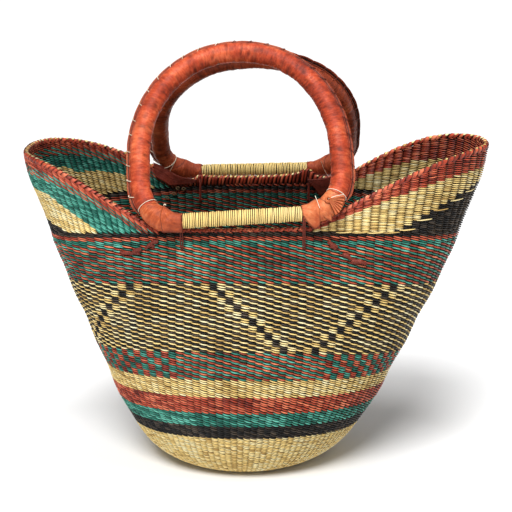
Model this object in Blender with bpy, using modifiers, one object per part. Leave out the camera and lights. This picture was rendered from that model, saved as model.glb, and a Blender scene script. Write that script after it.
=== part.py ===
"""Bolga basket: a woven straw market basket with two swinging leather handles.

Units are metres and +Z is up. The basket stands on its round base at z = 0. X runs along the
long side of the oval opening and -Y is the front.

The wall is one smooth surface, and every colour band, ear wedge and rim row is a shell lofted
between two row curves of that surface, so neighbouring bands meet along the same curve. Each
handle is a closed ring of bundled straw in its own flat frame: its bar runs along local X, its
arch rises along local Y, and the hinge line is the bar's own axis.
"""
import math

import bmesh
import bpy
import numpy as np
from mathutils import Matrix, Vector

# Whole basket
EAR_HALF_WIDTH = 0.2280
BASE_RADIUS = 0.0590
BASE_OFFSET = -0.0115
WALL_THICKNESS = 0.0050
GAP = 0.0004
SEGMENTS = 48

# Height of the rim's dip at the handles, and how far the ears rise above it
DIP_HEIGHT = 0.2610
EAR_RISE = 0.0630
EAR_HEIGHT = DIP_HEIGHT + EAR_RISE
RIM_SLANT = 0.0030
LEFT_DROOP = 0.0040

# Rim on top of the wall: braided edge over red rows, thin at the dip and tall at the ears
BRAID_HEIGHT = 0.0046
BRAID_DIP_HEIGHT = 0.0024
RED_RIM_HEIGHT = 0.0150
RED_DIP_HEIGHT = 0.0016
DIP_HALF_LENGTH = 0.0960
FRONT_CLIMB_POWER = 1.45
REAR_CLIMB_POWER = 1.0

# The wall's top row sags from the front towards the ears
WALL_SAG = 0.0150
FRONT_WALL_HEIGHT = DIP_HEIGHT - BRAID_DIP_HEIGHT - RED_DIP_HEIGHT
SIDE_WALL_HEIGHT = FRONT_WALL_HEIGHT - WALL_SAG

# Side profile, as shares of the ear height and of the ear half width
PROFILE_HEIGHT_SHARES = (0.0, 0.010, 0.030, 0.072, 0.154, 0.235, 0.315, 0.394, 0.474,
                         0.551, 0.628, 0.705, 0.760, 0.837, 0.911, 1.0)
PROFILE_WIDTH_SHARES = (0.0, 0.072, 0.160, 0.260, 0.365, 0.453, 0.511, 0.585, 0.642,
                        0.716, 0.770, 0.830, 0.860, 0.914, 0.967, 1.0)

# Front profile: half depth at the same heights, as shares of the belly's half depth
BELLY_HALF_DEPTH = 0.1130
BELLY_BULGE = 0.0115
TOP_HALF_DEPTH = BELLY_HALF_DEPTH - BELLY_BULGE
BELLY_RISE_SHARES = (0.0, 0.180, 0.370, 0.560, 0.740, 0.850, 0.925, 0.975, 1.0, 0.990,
                     0.900, 0.700, 0.420, 0.0, 0.0, 0.0)
BELLY_TOP_SHARE = 0.474
BASE_ROUNDING_POWER = 2.0
TOP_ROUNDING_POWER = 2.6
OFFSET_FADE_POWER = 1.3
LEFT_EAR_SPREAD = 0.020
RIGHT_EAR_SPREAD = -0.016
EAR_SPREAD_START_SHARE = 0.60

# Row lines between the colour bands, as shares of the wall height at the sides and the front
SIDE_ROW_SHARES = (0.0, 0.172, 0.226, 0.284, 0.356, 0.420, 0.505, 0.790, 0.9522, 0.9682,
                   0.9842, 1.0)
FRONT_ROW_SHARES = (0.0, 0.192, 0.244, 0.300, 0.368, 0.439, 0.550, 0.815, 0.9550, 0.9700,
                    0.9850, 1.0)
ROW_SWEEP_POWER = 1.7
ROW_TILT_HEIGHT = 0.0035
ROW_TILT_SHARES = (0.0, 0.0, 0.0, 0.1, 0.2, 0.5, 1.0, 0.3, 0.0, 0.0, 0.0, 0.0)

# Wedges of short rows that fill each ear between the wall's top row and the red rows
LEFT_NATURAL_WEDGE_HEIGHT = 0.0440
LEFT_NATURAL_WEDGE_START_SHARE = 0.65
RIGHT_BLACK_WEDGE_HEIGHT = 0.0300
RIGHT_BLACK_WEDGE_START_SHARE = 0.56
LOWER_WEDGE_LEAST_HEIGHT = 0.0014
LOWER_WEDGE_LEAST_ROOM = 0.0042
UPPER_WEDGE_LEAST_ROOM = 0.0028
LOWER_WEDGE_ROOM_SHARE = 0.75

# Handles
BAR_HALF_LENGTH = 0.0620
FRONT_HALF_WIDTH = 0.0938
REAR_HALF_WIDTH = 0.0965
CORNER_HEIGHT = 0.0400
ARCH_FOOT_HEIGHT = 0.0600
FRONT_ARCH_HEIGHT = 0.1700
REAR_ARCH_HEIGHT = 0.1630
ARCH_ROUNDING_POWER = 2.1
ARCH_STEPS = 16
CORNER_SHARES = (0.0, 0.14, 0.28, 0.42, 0.54, 0.60, 0.66, 0.70, 0.84, 1.0)
WRAP_END_SHARE = 0.60
CORNER_SWELL = 0.0024
BAR_STANDOFF = 0.0010
BAR_CORE_RADIUS = 0.0049
SLEEVE_RADIUS = 0.0095
SLEEVE_THICKNESS = 0.0016
SLEEVE_CLEARANCE = 0.0004
SEAM_HEIGHT = 0.0040
SEAM_HALF_THICKNESS = 0.0013
TOP_HALF_GAP = 0.0005
FRONT_BAR_OFFSET = -0.0122
REAR_BAR_OFFSET = -0.0016
FRONT_BAR_RISE = 0.0110
REAR_BAR_RISE = 0.0108
FRONT_TILT = math.radians(3.6)
REAR_TILT = math.radians(1.2)
WRAP_THICKNESS = 0.0016
WRAP_CLEARANCE = 0.00064
WRAP_LEAD = 0.0015

# Straw winding on each bar
STRAND_RADIUS = 0.00125
WINDING_HALF_LENGTH = 0.0532
WINDING_LOOPS = 20
WINDING_END_SHARE = 0.30
POINTS_PER_LOOP = 12

# Tie straps
STRAP_WIDTH = 0.0050
STRAP_THICKNESS = 0.0018
STRAP_CLEARANCE = 0.0007
STRAP_SIDE_CLEARANCE = 0.00124
STRAP_END_GAP = 0.0011
STRAP_POINTS = 24
STRAP_BEND_RADIUS = 0.0008
SLOT_DROP = 0.0035
SLOT_CLEARANCE = 0.0004
CUT_OVERRUN = 0.0040
WELD_DISTANCE = 0.00004

# Small steps that the wall's inward direction is measured with
PROBE_TURN = math.radians(0.5)
PROBE_HEIGHT = 0.00065
SHARP_ANGLE = math.radians(40.0)

STRAW_ROUGHNESS = 0.7
LEATHER_ROUGHNESS = 0.35
NATURAL = (0.72, 0.57, 0.30, 1.0)
BLACK = (0.020, 0.016, 0.016, 1.0)
TEAL = (0.012, 0.230, 0.150, 1.0)
RED = (0.400, 0.050, 0.025, 1.0)
LEATHER = (0.520, 0.065, 0.020, 1.0)


def clear_scene():
    for item in list(bpy.data.objects):
        bpy.data.objects.remove(item, do_unlink=True)


def make_collection(name):
    collection = bpy.data.collections.new(name)
    bpy.context.scene.collection.children.link(collection)
    return collection


def make_material(name, colour, roughness):
    material = bpy.data.materials.new(name)
    material.use_nodes = True
    shader = material.node_tree.nodes["Principled BSDF"]
    shader.inputs["Base Color"].default_value = colour
    shader.inputs["Roughness"].default_value = roughness
    shader.inputs["Metallic"].default_value = 0.0
    return material


def finish_part(item, colour, roughness, collection):
    """Gives a sub-part its own material and puts it in the basket's collection."""
    item.data.materials.clear()
    item.data.materials.append(make_material(item.name, colour, roughness))
    collection.objects.link(item)
    return item


def smooth_curve(places, values, at):
    """A smooth curve through points that never overshoots them (monotone cubic)."""
    places = np.asarray(places, float)
    values = np.asarray(values, float)
    steps = np.diff(places)
    slopes = np.diff(values) / steps
    tangents = np.zeros(len(places))
    tangents[0] = slopes[0]
    tangents[-1] = slopes[-1]
    for i in range(1, len(places) - 1):
        if slopes[i - 1] * slopes[i] > 0.0:
            tangents[i] = 2.0 * slopes[i - 1] * slopes[i] / (slopes[i - 1] + slopes[i])
    i = int(np.clip(np.searchsorted(places, at) - 1, 0, len(steps) - 1))
    t = (at - places[i]) / steps[i]
    return (values[i] * (1 + 2 * t) * (1 - t) ** 2 + tangents[i] * steps[i] * t * (1 - t) ** 2
            + values[i + 1] * t * t * (3 - 2 * t) + tangents[i + 1] * steps[i] * t * t * (t - 1))


def half_width(z):
    share = smooth_curve(PROFILE_HEIGHT_SHARES, PROFILE_WIDTH_SHARES, z / EAR_HEIGHT)
    return BASE_RADIUS + (EAR_HALF_WIDTH - BASE_RADIUS) * share


def half_depth(z, across):
    """Half depth at a height; across runs from -1 at the left ear to 1 at the right ear."""
    share = smooth_curve(PROFILE_HEIGHT_SHARES, BELLY_RISE_SHARES, z / EAR_HEIGHT)
    foot = BASE_RADIUS if z < EAR_HEIGHT * BELLY_TOP_SHARE else TOP_HALF_DEPTH
    depth = foot + (BELLY_HALF_DEPTH - foot) * share
    ear = max(0.0, (z / EAR_HEIGHT - EAR_SPREAD_START_SHARE) / (1.0 - EAR_SPREAD_START_SHARE))
    spread = LEFT_EAR_SPREAD if across < 0.0 else RIGHT_EAR_SPREAD
    return depth + spread * ear * across * across


def rounding_power(z):
    """The outline is round at the base and turns into a blunt oval towards the opening."""
    share = min(1.0, z / DIP_HEIGHT)
    return BASE_ROUNDING_POWER + (TOP_ROUNDING_POWER - BASE_ROUNDING_POWER) * share


def centre_offset(z):
    """The base stands a little to the left of the opening's centre."""
    return BASE_OFFSET * max(0.0, 1.0 - z / DIP_HEIGHT) ** OFFSET_FADE_POWER


def outer_point(angle, z):
    """Point of the wall's outer surface; angle 0 is the right ear, a quarter turn the back."""
    across = math.cos(angle)
    along = math.sin(angle)
    power = 2.0 / rounding_power(z)
    x = math.copysign(abs(across) ** power, across) * half_width(z) + centre_offset(z)
    y = math.copysign(abs(along) ** power, along) * half_depth(z, across)
    return Vector((x, y, z))


def wall_point(angle, z, inset):
    """Outer point moved inward, square to the surface, by a share of the wall thickness."""
    point = outer_point(angle, z)
    if inset == 0.0:
        return point
    low = max(0.0, z - PROBE_HEIGHT)
    high = low + 2.0 * PROBE_HEIGHT
    around = outer_point(angle + PROBE_TURN, z) - outer_point(angle - PROBE_TURN, z)
    upward = outer_point(angle, high) - outer_point(angle, low)
    normal = around.cross(upward).normalized()
    return point - normal * inset * WALL_THICKNESS


def row_height(row, angle):
    """Height of a row line between two colour bands, lower at the ears than at the front.

    The middle rows of a hand-woven basket run a little uphill, here towards the left ear.
    """
    side = SIDE_WALL_HEIGHT * SIDE_ROW_SHARES[row]
    front = FRONT_WALL_HEIGHT * FRONT_ROW_SHARES[row]
    tilt = ROW_TILT_HEIGHT * ROW_TILT_SHARES[row] * math.cos(angle)
    return side + (front - side) * abs(math.sin(angle)) ** ROW_SWEEP_POWER - tilt


def across_share(angle):
    """How far along X the rim is, from -1 at the left ear to 1 at the right ear."""
    across = math.cos(angle)
    return math.copysign(abs(across) ** (2.0 / TOP_ROUNDING_POWER), across)


def rim_climb(angle):
    """How far the rim has climbed from its dip at a handle, 0, to the tip of an ear, 1."""
    along = math.sin(angle)
    dip_centre = (FRONT_BAR_OFFSET * (1.0 - along) + REAR_BAR_OFFSET * (1.0 + along)) / 2.0
    away = abs(across_share(angle) * EAR_HALF_WIDTH - dip_centre)
    reach = EAR_HALF_WIDTH - math.copysign(dip_centre, across_share(angle)) - DIP_HALF_LENGTH
    return max(0.0, (away - DIP_HALF_LENGTH) / reach)


def rim_height(angle):
    across = across_share(angle)
    climb = rim_climb(angle)
    height = DIP_HEIGHT + RIM_SLANT * across
    rear_share = (1.0 + math.sin(angle)) / 2.0
    power = FRONT_CLIMB_POWER + (REAR_CLIMB_POWER - FRONT_CLIMB_POWER) * rear_share
    height += (EAR_HEIGHT - height) * math.sin(climb * math.pi / 2.0) ** power
    if across < 0.0 and math.sin(angle) < 0.0:
        height -= LEFT_DROOP * math.sin(climb * math.pi) ** 2
    return height


def rise_share(angle):
    """The rim's height at an angle as a share of the way from the dip to the ears."""
    return min(1.0, max(0.0, (rim_height(angle) - DIP_HEIGHT) / EAR_RISE))


def braid_foot(angle):
    extra = (BRAID_HEIGHT - BRAID_DIP_HEIGHT) * rise_share(angle)
    return rim_height(angle) - BRAID_DIP_HEIGHT - extra


def red_foot(angle):
    """Lower edge of the red rim rows, never below the wall's top row."""
    foot = braid_foot(angle) - RED_DIP_HEIGHT - RED_RIM_HEIGHT * rise_share(angle)
    return max(row_height(-1, angle), foot)


def ear_room(angle):
    """Height left for short rows between the wall's top row and the red rim rows."""
    return red_foot(angle) - row_height(-1, angle)


def lower_wedge_height(angle):
    """Height of the lower short rows in an ear: natural on the left, black on the right."""
    across = across_share(angle)
    if across < 0.0:
        start = LEFT_NATURAL_WEDGE_START_SHARE
        height = LEFT_NATURAL_WEDGE_HEIGHT
    else:
        start = RIGHT_BLACK_WEDGE_START_SHARE
        height = RIGHT_BLACK_WEDGE_HEIGHT
    return height * max(0.0, (abs(across) - start) / (1.0 - start))


def has_lower_wedge(angle):
    tall = lower_wedge_height(angle) > LOWER_WEDGE_LEAST_HEIGHT
    return tall and ear_room(angle) > LOWER_WEDGE_LEAST_ROOM


def has_upper_wedge(angle):
    return ear_room(angle) > UPPER_WEDGE_LEAST_ROOM


def lower_wedge_top(angle):
    room = ear_room(angle) * LOWER_WEDGE_ROOM_SHARE
    return row_height(-1, angle) + min(lower_wedge_height(angle), room)


def wall_top(angle):
    return row_height(-1, angle)


def upper_wedge_foot(angle):
    return lower_wedge_top(angle) if has_lower_wedge(angle) else wall_top(angle)


def angles_all_round():
    return [2.0 * math.pi * i / SEGMENTS for i in range(SEGMENTS)]


def ear_angles(side, wanted):
    """The run of angles round one ear where a wedge is tall enough to be woven."""
    centre = SEGMENTS // 2 if side < 0 else 0
    run = [i for i in range(centre - SEGMENTS // 4, centre + SEGMENTS // 4 + 1)
           if wanted(2.0 * math.pi * i / SEGMENTS)]
    return [2.0 * math.pi * i / SEGMENTS for i in run]


def band_shell(name, angles, low_edge, high_edge, rows, closed):
    """Lofts a shell of wall thickness between two row curves; an open run gets end faces.

    The narrow top and bottom faces twist, so they are split along the same diagonal on every
    band, and two neighbouring bands stay parallel where they meet.
    """
    mesh = bmesh.new()
    grids = []
    for inset in (0.0, 1.0):
        grid = []
        for row in range(rows + 1):
            share = row / rows
            ring = []
            for angle in angles:
                low = low_edge(angle) + GAP / 2.0
                high = high_edge(angle) - GAP / 2.0
                ring.append(mesh.verts.new(wall_point(angle, low + (high - low) * share, inset)))
            grid.append(ring)
        grids.append(grid)
    outer, inner = grids
    count = len(angles)
    spans = range(count if closed else count - 1)
    for row in range(rows):
        for i in spans:
            j = (i + 1) % count
            mesh.faces.new((outer[row][i], outer[row][j], outer[row + 1][j], outer[row + 1][i]))
            mesh.faces.new((inner[row][j], inner[row][i], inner[row + 1][i], inner[row + 1][j]))
    for i in spans:
        j = (i + 1) % count
        mesh.faces.new((outer[rows][i], outer[rows][j], inner[rows][j]))
        mesh.faces.new((outer[rows][i], inner[rows][j], inner[rows][i]))
        mesh.faces.new((inner[0][j], outer[0][j], outer[0][i]))
        mesh.faces.new((inner[0][i], inner[0][j], outer[0][i]))
    if not closed:
        for row in range(rows):
            mesh.faces.new((outer[row][0], outer[row + 1][0], inner[row + 1][0], inner[row][0]))
            mesh.faces.new((outer[row + 1][-1], outer[row][-1], inner[row][-1],
                            inner[row + 1][-1]))
    data = bpy.data.meshes.new(name)
    mesh.to_mesh(data)
    mesh.free()
    data.shade_smooth()
    data.set_sharp_from_angle(angle=SHARP_ANGLE)
    return bpy.data.objects.new(name, data)


def make_base(collection):
    """The round woven start: a disc whose edge leans in with the end of the wall's first row."""
    mesh = bmesh.new()
    foot = []
    top = []
    for angle in angles_all_round():
        edge = outer_point(angle, 0.0)
        inner = wall_point(angle, GAP / 2.0, 1.0)
        inward = Vector((-math.cos(angle), -math.sin(angle), 0.0)) * GAP
        foot.append(mesh.verts.new(edge + inward))
        top.append(mesh.verts.new(inner + inward * 2.0))
    middle = mesh.verts.new((BASE_OFFSET, 0.0, WALL_THICKNESS))
    mesh.faces.new(list(reversed(foot)))
    for i in range(SEGMENTS):
        j = (i + 1) % SEGMENTS
        mesh.faces.new((foot[i], foot[j], top[j], top[i]))
        mesh.faces.new((top[i], top[j], middle))
    data = bpy.data.meshes.new("base_disc")
    mesh.to_mesh(data)
    mesh.free()
    finish_part(bpy.data.objects.new("base_disc", data), NATURAL, STRAW_ROUGHNESS, collection)


def make_wall_bands(collection):
    """One closed ring of weavers for each colour band, from the base up to the black line."""
    bands = (
        ("base_natural_band", NATURAL, 5),
        ("low_black_band", BLACK, 1),
        ("low_teal_band", TEAL, 1),
        ("low_red_band", RED, 1),
        ("middle_natural_band", NATURAL, 1),
        ("check_band", TEAL, 1),
        ("stripe_band", NATURAL, 3),
        ("fine_red_teal_band", RED, 2),
        ("teal_line", TEAL, 1),
        ("red_line", RED, 1),
        ("black_line", BLACK, 1),
    )
    made = {}
    for row, (name, colour, rows) in enumerate(bands):
        item = band_shell(name, angles_all_round(), lambda angle, k=row: row_height(k, angle),
                          lambda angle, k=row + 1: row_height(k, angle), rows, True)
        made[name] = finish_part(item, colour, STRAW_ROUGHNESS, collection)
    return made


def make_ears(collection):
    """Short rows that lift the two ears: two wedges on each side."""
    lower = (has_lower_wedge, wall_top, lower_wedge_top)
    upper = (has_upper_wedge, upper_wedge_foot, red_foot)
    wedges = (
        ("left_natural_wedge", -1, lower, NATURAL),
        ("left_teal_wedge", -1, upper, TEAL),
        ("right_black_wedge", 1, lower, BLACK),
        ("right_natural_wedge", 1, upper, NATURAL),
    )
    for name, side, (wanted, low_edge, high_edge), colour in wedges:
        item = band_shell(name, ear_angles(side, wanted), low_edge, high_edge, 1, False)
        finish_part(item, colour, STRAW_ROUGHNESS, collection)


def make_rim(collection):
    """The red rows that run round the whole opening, and the braided edge on top of them."""
    rows = band_shell("red_rim_rows", angles_all_round(), red_foot, braid_foot, 1, True)
    finish_part(rows, RED, STRAW_ROUGHNESS, collection)
    braid = band_shell("rim_braid", angles_all_round(), braid_foot, rim_height, 1, True)
    finish_part(braid, NATURAL, STRAW_ROUGHNESS, collection)


class Handle:
    """Sizes and place of one handle; side is -1 for the front one and 1 for the rear one."""

    def __init__(self, name, side, offset, bar_rise, half_width, arch_height, tilt):
        self.name = name
        self.side = side
        self.tilt = tilt
        self.half_width = half_width
        self.arch_height = arch_height
        stand = TOP_HALF_DEPTH + BAR_STANDOFF + BAR_CORE_RADIUS
        self.hinge = Vector((offset, side * stand, DIP_HEIGHT + bar_rise))
        lean = math.asin((stand - SLEEVE_RADIUS - TOP_HALF_GAP) / arch_height)
        along = Vector((math.cos(tilt), 0.0, math.sin(tilt)))
        level_up = Vector((-math.sin(tilt), 0.0, math.cos(tilt)))
        arch = level_up * math.cos(lean) + Vector((0.0, -side, 0.0)) * math.sin(lean)
        facing = along.cross(arch)
        self.matrix = Matrix((
            (along.x, arch.x, facing.x, self.hinge.x),
            (along.y, arch.y, facing.y, self.hinge.y),
            (along.z, arch.z, facing.z, self.hinge.z),
            (0.0, 0.0, 0.0, 1.0),
        ))


def ring_path(handle):
    """The handle ring's centre line, from the bar's right end round the arch to its left end.

    Each entry is a point and the share of the way round its corner, which is 0 on the bar's
    side and 1 from where the corner ends, all along the arch.
    """
    corner = handle.half_width - BAR_HALF_LENGTH
    arch_rise = handle.arch_height - ARCH_FOOT_HEIGHT
    path = []
    for share in CORNER_SHARES:
        turn = share * math.pi / 2.0
        path.append((BAR_HALF_LENGTH + corner * math.sin(turn),
                     CORNER_HEIGHT * (1.0 - math.cos(turn)), share))
    for i in range(ARCH_STEPS // 2 + 1):
        turn = i / ARCH_STEPS * math.pi
        across = abs(math.cos(turn)) ** (2.0 / ARCH_ROUNDING_POWER)
        rise = abs(math.sin(turn)) ** (2.0 / ARCH_ROUNDING_POWER)
        path.append((handle.half_width * across, ARCH_FOOT_HEIGHT + arch_rise * rise, 1.0))
    mirrored = [(-x, y, share) for x, y, share in reversed(path[:-1])]
    return path + mirrored


def core_radius(share):
    """The straw bundle is thin along the bar, bulges under each wrap and fills the sleeve."""
    full = SLEEVE_RADIUS - SLEEVE_THICKNESS - SLEEVE_CLEARANCE
    ease = share * share * (3.0 - 2.0 * share)
    swell = CORNER_SWELL * math.sin(math.pi * min(1.0, share / WRAP_END_SHARE))
    return BAR_CORE_RADIUS + (full - BAR_CORE_RADIUS) * ease + swell


def tube_curve(name, points, radii, sides_level, cyclic, caps):
    """A round tube along points, as a curve whose radius can change from point to point."""
    curve = bpy.data.curves.new(name, "CURVE")
    curve.dimensions = "3D"
    curve.twist_mode = "Z_UP"
    curve.bevel_depth = 1.0
    curve.bevel_resolution = sides_level
    curve.use_fill_caps = caps
    spline = curve.splines.new("POLY")
    spline.points.add(len(points) - 1)
    for place, point, radius in zip(spline.points, points, radii):
        place.co = (point[0], point[1], point[2], 1.0)
        place.radius = radius
    spline.use_cyclic_u = cyclic
    return bpy.data.objects.new(name, curve)


def curve_to_mesh(curve_item, name, weld):
    """Turns a curve object into a mesh object in the same place, with its caps welded."""
    bpy.context.scene.collection.objects.link(curve_item)
    bpy.context.view_layer.update()
    graph = bpy.context.evaluated_depsgraph_get()
    data = bpy.data.meshes.new_from_object(curve_item.evaluated_get(graph))
    data.name = name
    mesh = bmesh.new()
    mesh.from_mesh(data)
    bmesh.ops.remove_doubles(mesh, verts=mesh.verts, dist=weld)
    bmesh.ops.recalc_face_normals(mesh, faces=mesh.faces)
    mesh.to_mesh(data)
    mesh.free()
    place = curve_item.matrix_world.copy()
    bpy.data.objects.remove(curve_item, do_unlink=True)
    item = bpy.data.objects.new(name, data)
    item.matrix_world = place
    return item


def place_on_handle(item, pivot):
    """Carries a piece made in the handle's flat frame to its place, on the hinge empty."""
    item.parent = pivot
    item.matrix_parent_inverse = Matrix.Identity(4)
    item.data.name = item.name


def make_core(handle, pivot, collection):
    """The closed ring of bundled straw."""
    path = ring_path(handle)
    points = [(x, y, 0.0) for x, y, share in path]
    radii = [core_radius(share) for x, y, share in path]
    item = tube_curve(handle.name + "_core", points, radii, 2, True, False)
    item = curve_to_mesh(item, handle.name + "_core", WELD_DISTANCE)
    item.data.shade_smooth()
    finish_part(item, NATURAL, STRAW_ROUGHNESS, collection)
    place_on_handle(item, pivot)


def make_wraps(handle, pivot, collection):
    """Leather wrapped round each corner, where the bar turns up into the arch."""
    path = ring_path(handle)
    for side_name, sign in (("right", 1), ("left", -1)):
        lead = (sign * (BAR_HALF_LENGTH - WRAP_LEAD), 0.0, 0.0)
        corner = [place for place in path if place[0] * sign > 0.0 and place[2] <= WRAP_END_SHARE]
        corner = [lead] + sorted(corner, key=lambda place: place[2])
        points = [(x, y, 0.0) for x, y, share in corner]
        radii = [core_radius(share) + WRAP_CLEARANCE + WRAP_THICKNESS for x, y, share in corner]
        name = handle.name + "_" + side_name + "_wrap"
        item = curve_to_mesh(tube_curve(name, points, radii, 2, False, False), name, WELD_DISTANCE)
        shell = item.modifiers.new("leather", "SOLIDIFY")
        shell.thickness = WRAP_THICKNESS
        shell.offset = -1.0
        item.data.shade_smooth()
        finish_part(item, LEATHER, LEATHER_ROUGHNESS, collection)
        place_on_handle(item, pivot)


def seam_section(collection):
    """Cross-section of the sleeve: a round tube with the two sewn edges standing outward."""
    curve = bpy.data.curves.new("seam_section", "CURVE")
    curve.dimensions = "2D"
    spline = curve.splines.new("POLY")
    outline = [(SLEEVE_RADIUS + SEAM_HEIGHT, -SEAM_HALF_THICKNESS),
               (SLEEVE_RADIUS + SEAM_HEIGHT, SEAM_HALF_THICKNESS)]
    sides = 12
    edge = math.asin(SEAM_HALF_THICKNESS / SLEEVE_RADIUS)
    turns = [edge] + [2.0 * math.pi * i / sides for i in range(1, sides)] + [-edge]
    outline += [(SLEEVE_RADIUS * math.cos(t), SLEEVE_RADIUS * math.sin(t)) for t in turns]
    spline.points.add(len(outline) - 1)
    for place, (x, y) in zip(spline.points, outline):
        place.co = (x, y, 0.0, 1.0)
    spline.use_cyclic_u = True
    item = bpy.data.objects.new("seam_section", curve)
    item.hide_render = True
    item.display_type = "WIRE"
    collection.objects.link(item)
    return item


def sleeve_points(handle):
    """The part of the ring that the sleeve covers, right to left over the arch."""
    path = ring_path(handle)
    return [(x, y, 0.0) for x, y, share in path if share > WRAP_END_SHARE]


def make_sleeve(handle, pivot, section, collection, cutters):
    """Leather sewn round the arch: a tube with a raised seam on its outer edge."""
    name = handle.name + "_sleeve"
    points = sleeve_points(handle)
    curve = bpy.data.curves.new(name, "CURVE")
    curve.dimensions = "2D"
    curve.bevel_mode = "OBJECT"
    curve.bevel_object = section
    curve.use_fill_caps = True
    spline = curve.splines.new("POLY")
    spline.points.add(len(points) - 1)
    for place, point in zip(spline.points, points):
        place.co = (point[0], point[1], 0.0, 1.0)
    item = curve_to_mesh(bpy.data.objects.new(name, curve), name, WELD_DISTANCE)

    first = Vector(points[0]) - Vector(points[1])
    last = Vector(points[-1]) - Vector(points[-2])
    bore_points = ([Vector(points[0]) + first.normalized() * CUT_OVERRUN]
                   + [Vector(point) for point in points]
                   + [Vector(points[-1]) + last.normalized() * CUT_OVERRUN])
    radius = SLEEVE_RADIUS - SLEEVE_THICKNESS
    bore_name = name + "_bore"
    bore = tube_curve(bore_name, bore_points, [radius] * len(bore_points), 4, False, True)
    bore = curve_to_mesh(bore, bore_name, WELD_DISTANCE)
    bore.hide_render = True
    bore.display_type = "WIRE"
    cutters.objects.link(bore)
    place_on_handle(bore, pivot)

    cut = item.modifiers.new("bore", "BOOLEAN")
    cut.operation = "DIFFERENCE"
    cut.solver = "EXACT"
    cut.object = bore
    finish_part(item, LEATHER, LEATHER_ROUGHNESS, collection)
    place_on_handle(item, pivot)


def winding_points():
    """One unbroken strand wound round the bar; both ends turn to run straight along it."""
    radius = BAR_CORE_RADIUS + GAP + STRAND_RADIUS
    straight = 2.0 * STRAND_RADIUS
    run = WINDING_HALF_LENGTH - straight
    ease_share = WINDING_END_SHARE / WINDING_LOOPS
    steps = WINDING_LOOPS * POINTS_PER_LOOP
    points = [Vector((-WINDING_HALF_LENGTH, radius, 0.0))]
    pitch = 2.0 * (run - 2.0 * straight) / WINDING_LOOPS
    for i in range(steps + 1):
        share = i / steps
        turn = 2.0 * math.pi * WINDING_LOOPS * share
        x = -run + 2.0 * straight + pitch * WINDING_LOOPS * share
        edge = min(share, 1.0 - share)
        if edge < ease_share:
            push = (1.0 - edge / ease_share) ** 2 * 2.0 * straight
            if share < 0.5:
                push = -push
            x += push
        points.append(Vector((x, radius * math.cos(turn), radius * math.sin(turn))))
    points.append(Vector((WINDING_HALF_LENGTH, radius, 0.0)))
    return points


def least_self_gap(points, diameter, skip):
    """Least clear distance between turns, measured from point to point along the strand."""
    places = np.array([tuple(point) for point in points])
    least = math.inf
    for i in range(len(places) - skip):
        away = np.linalg.norm(places[i + skip:] - places[i], axis=1)
        least = min(least, float(away.min()))
    return least - diameter


def make_winding(handle, pivot, collection):
    name = handle.name + "_winding"
    points = winding_points()
    gap = least_self_gap(points, 2.0 * STRAND_RADIUS, POINTS_PER_LOOP // 2)
    print(name, "least gap between turns:", round(gap * 1000.0, 2), "mm")
    item = tube_curve(name, points, [STRAND_RADIUS] * len(points), 1, False, True)
    item = curve_to_mesh(item, name, WELD_DISTANCE)
    item.data.shade_smooth()
    finish_part(item, NATURAL, STRAW_ROUGHNESS, collection)
    place_on_handle(item, pivot)


def make_handle(handle, section, collection, cutters):
    pivot = bpy.data.objects.new(handle.name + "_hinge", None)
    pivot.matrix_world = handle.matrix
    pivot.empty_display_size = SLEEVE_RADIUS
    collection.objects.link(pivot)
    make_core(handle, pivot, collection)
    make_winding(handle, pivot, collection)
    make_wraps(handle, pivot, collection)
    make_sleeve(handle, pivot, section, collection, cutters)


def wall_middle(x, z, side):
    """Y of the middle of the wall's thickness at an x and a height, front or back."""
    power = rounding_power(z)
    width_share = min(1.0, abs(x - centre_offset(z)) / half_width(z))
    outer = half_depth(z, 0.0) * (1.0 - width_share ** power) ** (1.0 / power)
    return side * (outer - WALL_THICKNESS / 2.0)


def slot_height():
    """Height of the slits in the weave, a little below the three thin lines."""
    return FRONT_WALL_HEIGHT * FRONT_ROW_SHARES[8] - SLOT_DROP


def strap_circles(handle, x):
    """Circles that a strap's loop is drawn round: the bar, the rim's top and its slot's ends."""
    angle = -handle.side * math.pi / 2.0
    bar_z = handle.hinge.z + (x - handle.hinge.x) * math.tan(handle.tilt)
    rim_z = rim_height(angle) - WALL_THICKNESS / 2.0
    rim_radius = WALL_THICKNESS / math.sqrt(2.0) + 2.0 * STRAP_CLEARANCE
    bend = STRAP_BEND_RADIUS
    foot_y = wall_middle(x, slot_height(), handle.side)
    foot_z = slot_height() + STRAP_THICKNESS / 2.0 + bend
    reach = WALL_THICKNESS / 2.0 + STRAP_SIDE_CLEARANCE
    return (
        (handle.hinge.y, bar_z, BAR_CORE_RADIUS + STRAP_CLEARANCE),
        (wall_middle(x, rim_z, handle.side), rim_z, rim_radius),
        (foot_y - reach, foot_z, bend),
        (foot_y + reach, foot_z, bend),
    )


def loop_outline(circles, grow):
    """The taut loop round some circles, from the circle that reaches furthest each way."""
    outline = []
    for i in range(STRAP_POINTS):
        turn = 2.0 * math.pi * i / STRAP_POINTS
        way = (math.cos(turn), math.sin(turn))
        y, z, radius = max(circles, key=lambda c: c[0] * way[0] + c[1] * way[1] + c[2])
        outline.append((y + (radius + grow) * way[0], z + (radius + grow) * way[1]))
    return outline


def strap_places(handle):
    reach = BAR_HALF_LENGTH - WRAP_LEAD - STRAP_WIDTH / 2.0 - STRAP_END_GAP
    return (("left", handle.hinge.x - reach * math.cos(handle.tilt)),
            ("right", handle.hinge.x + reach * math.cos(handle.tilt)))


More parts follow.
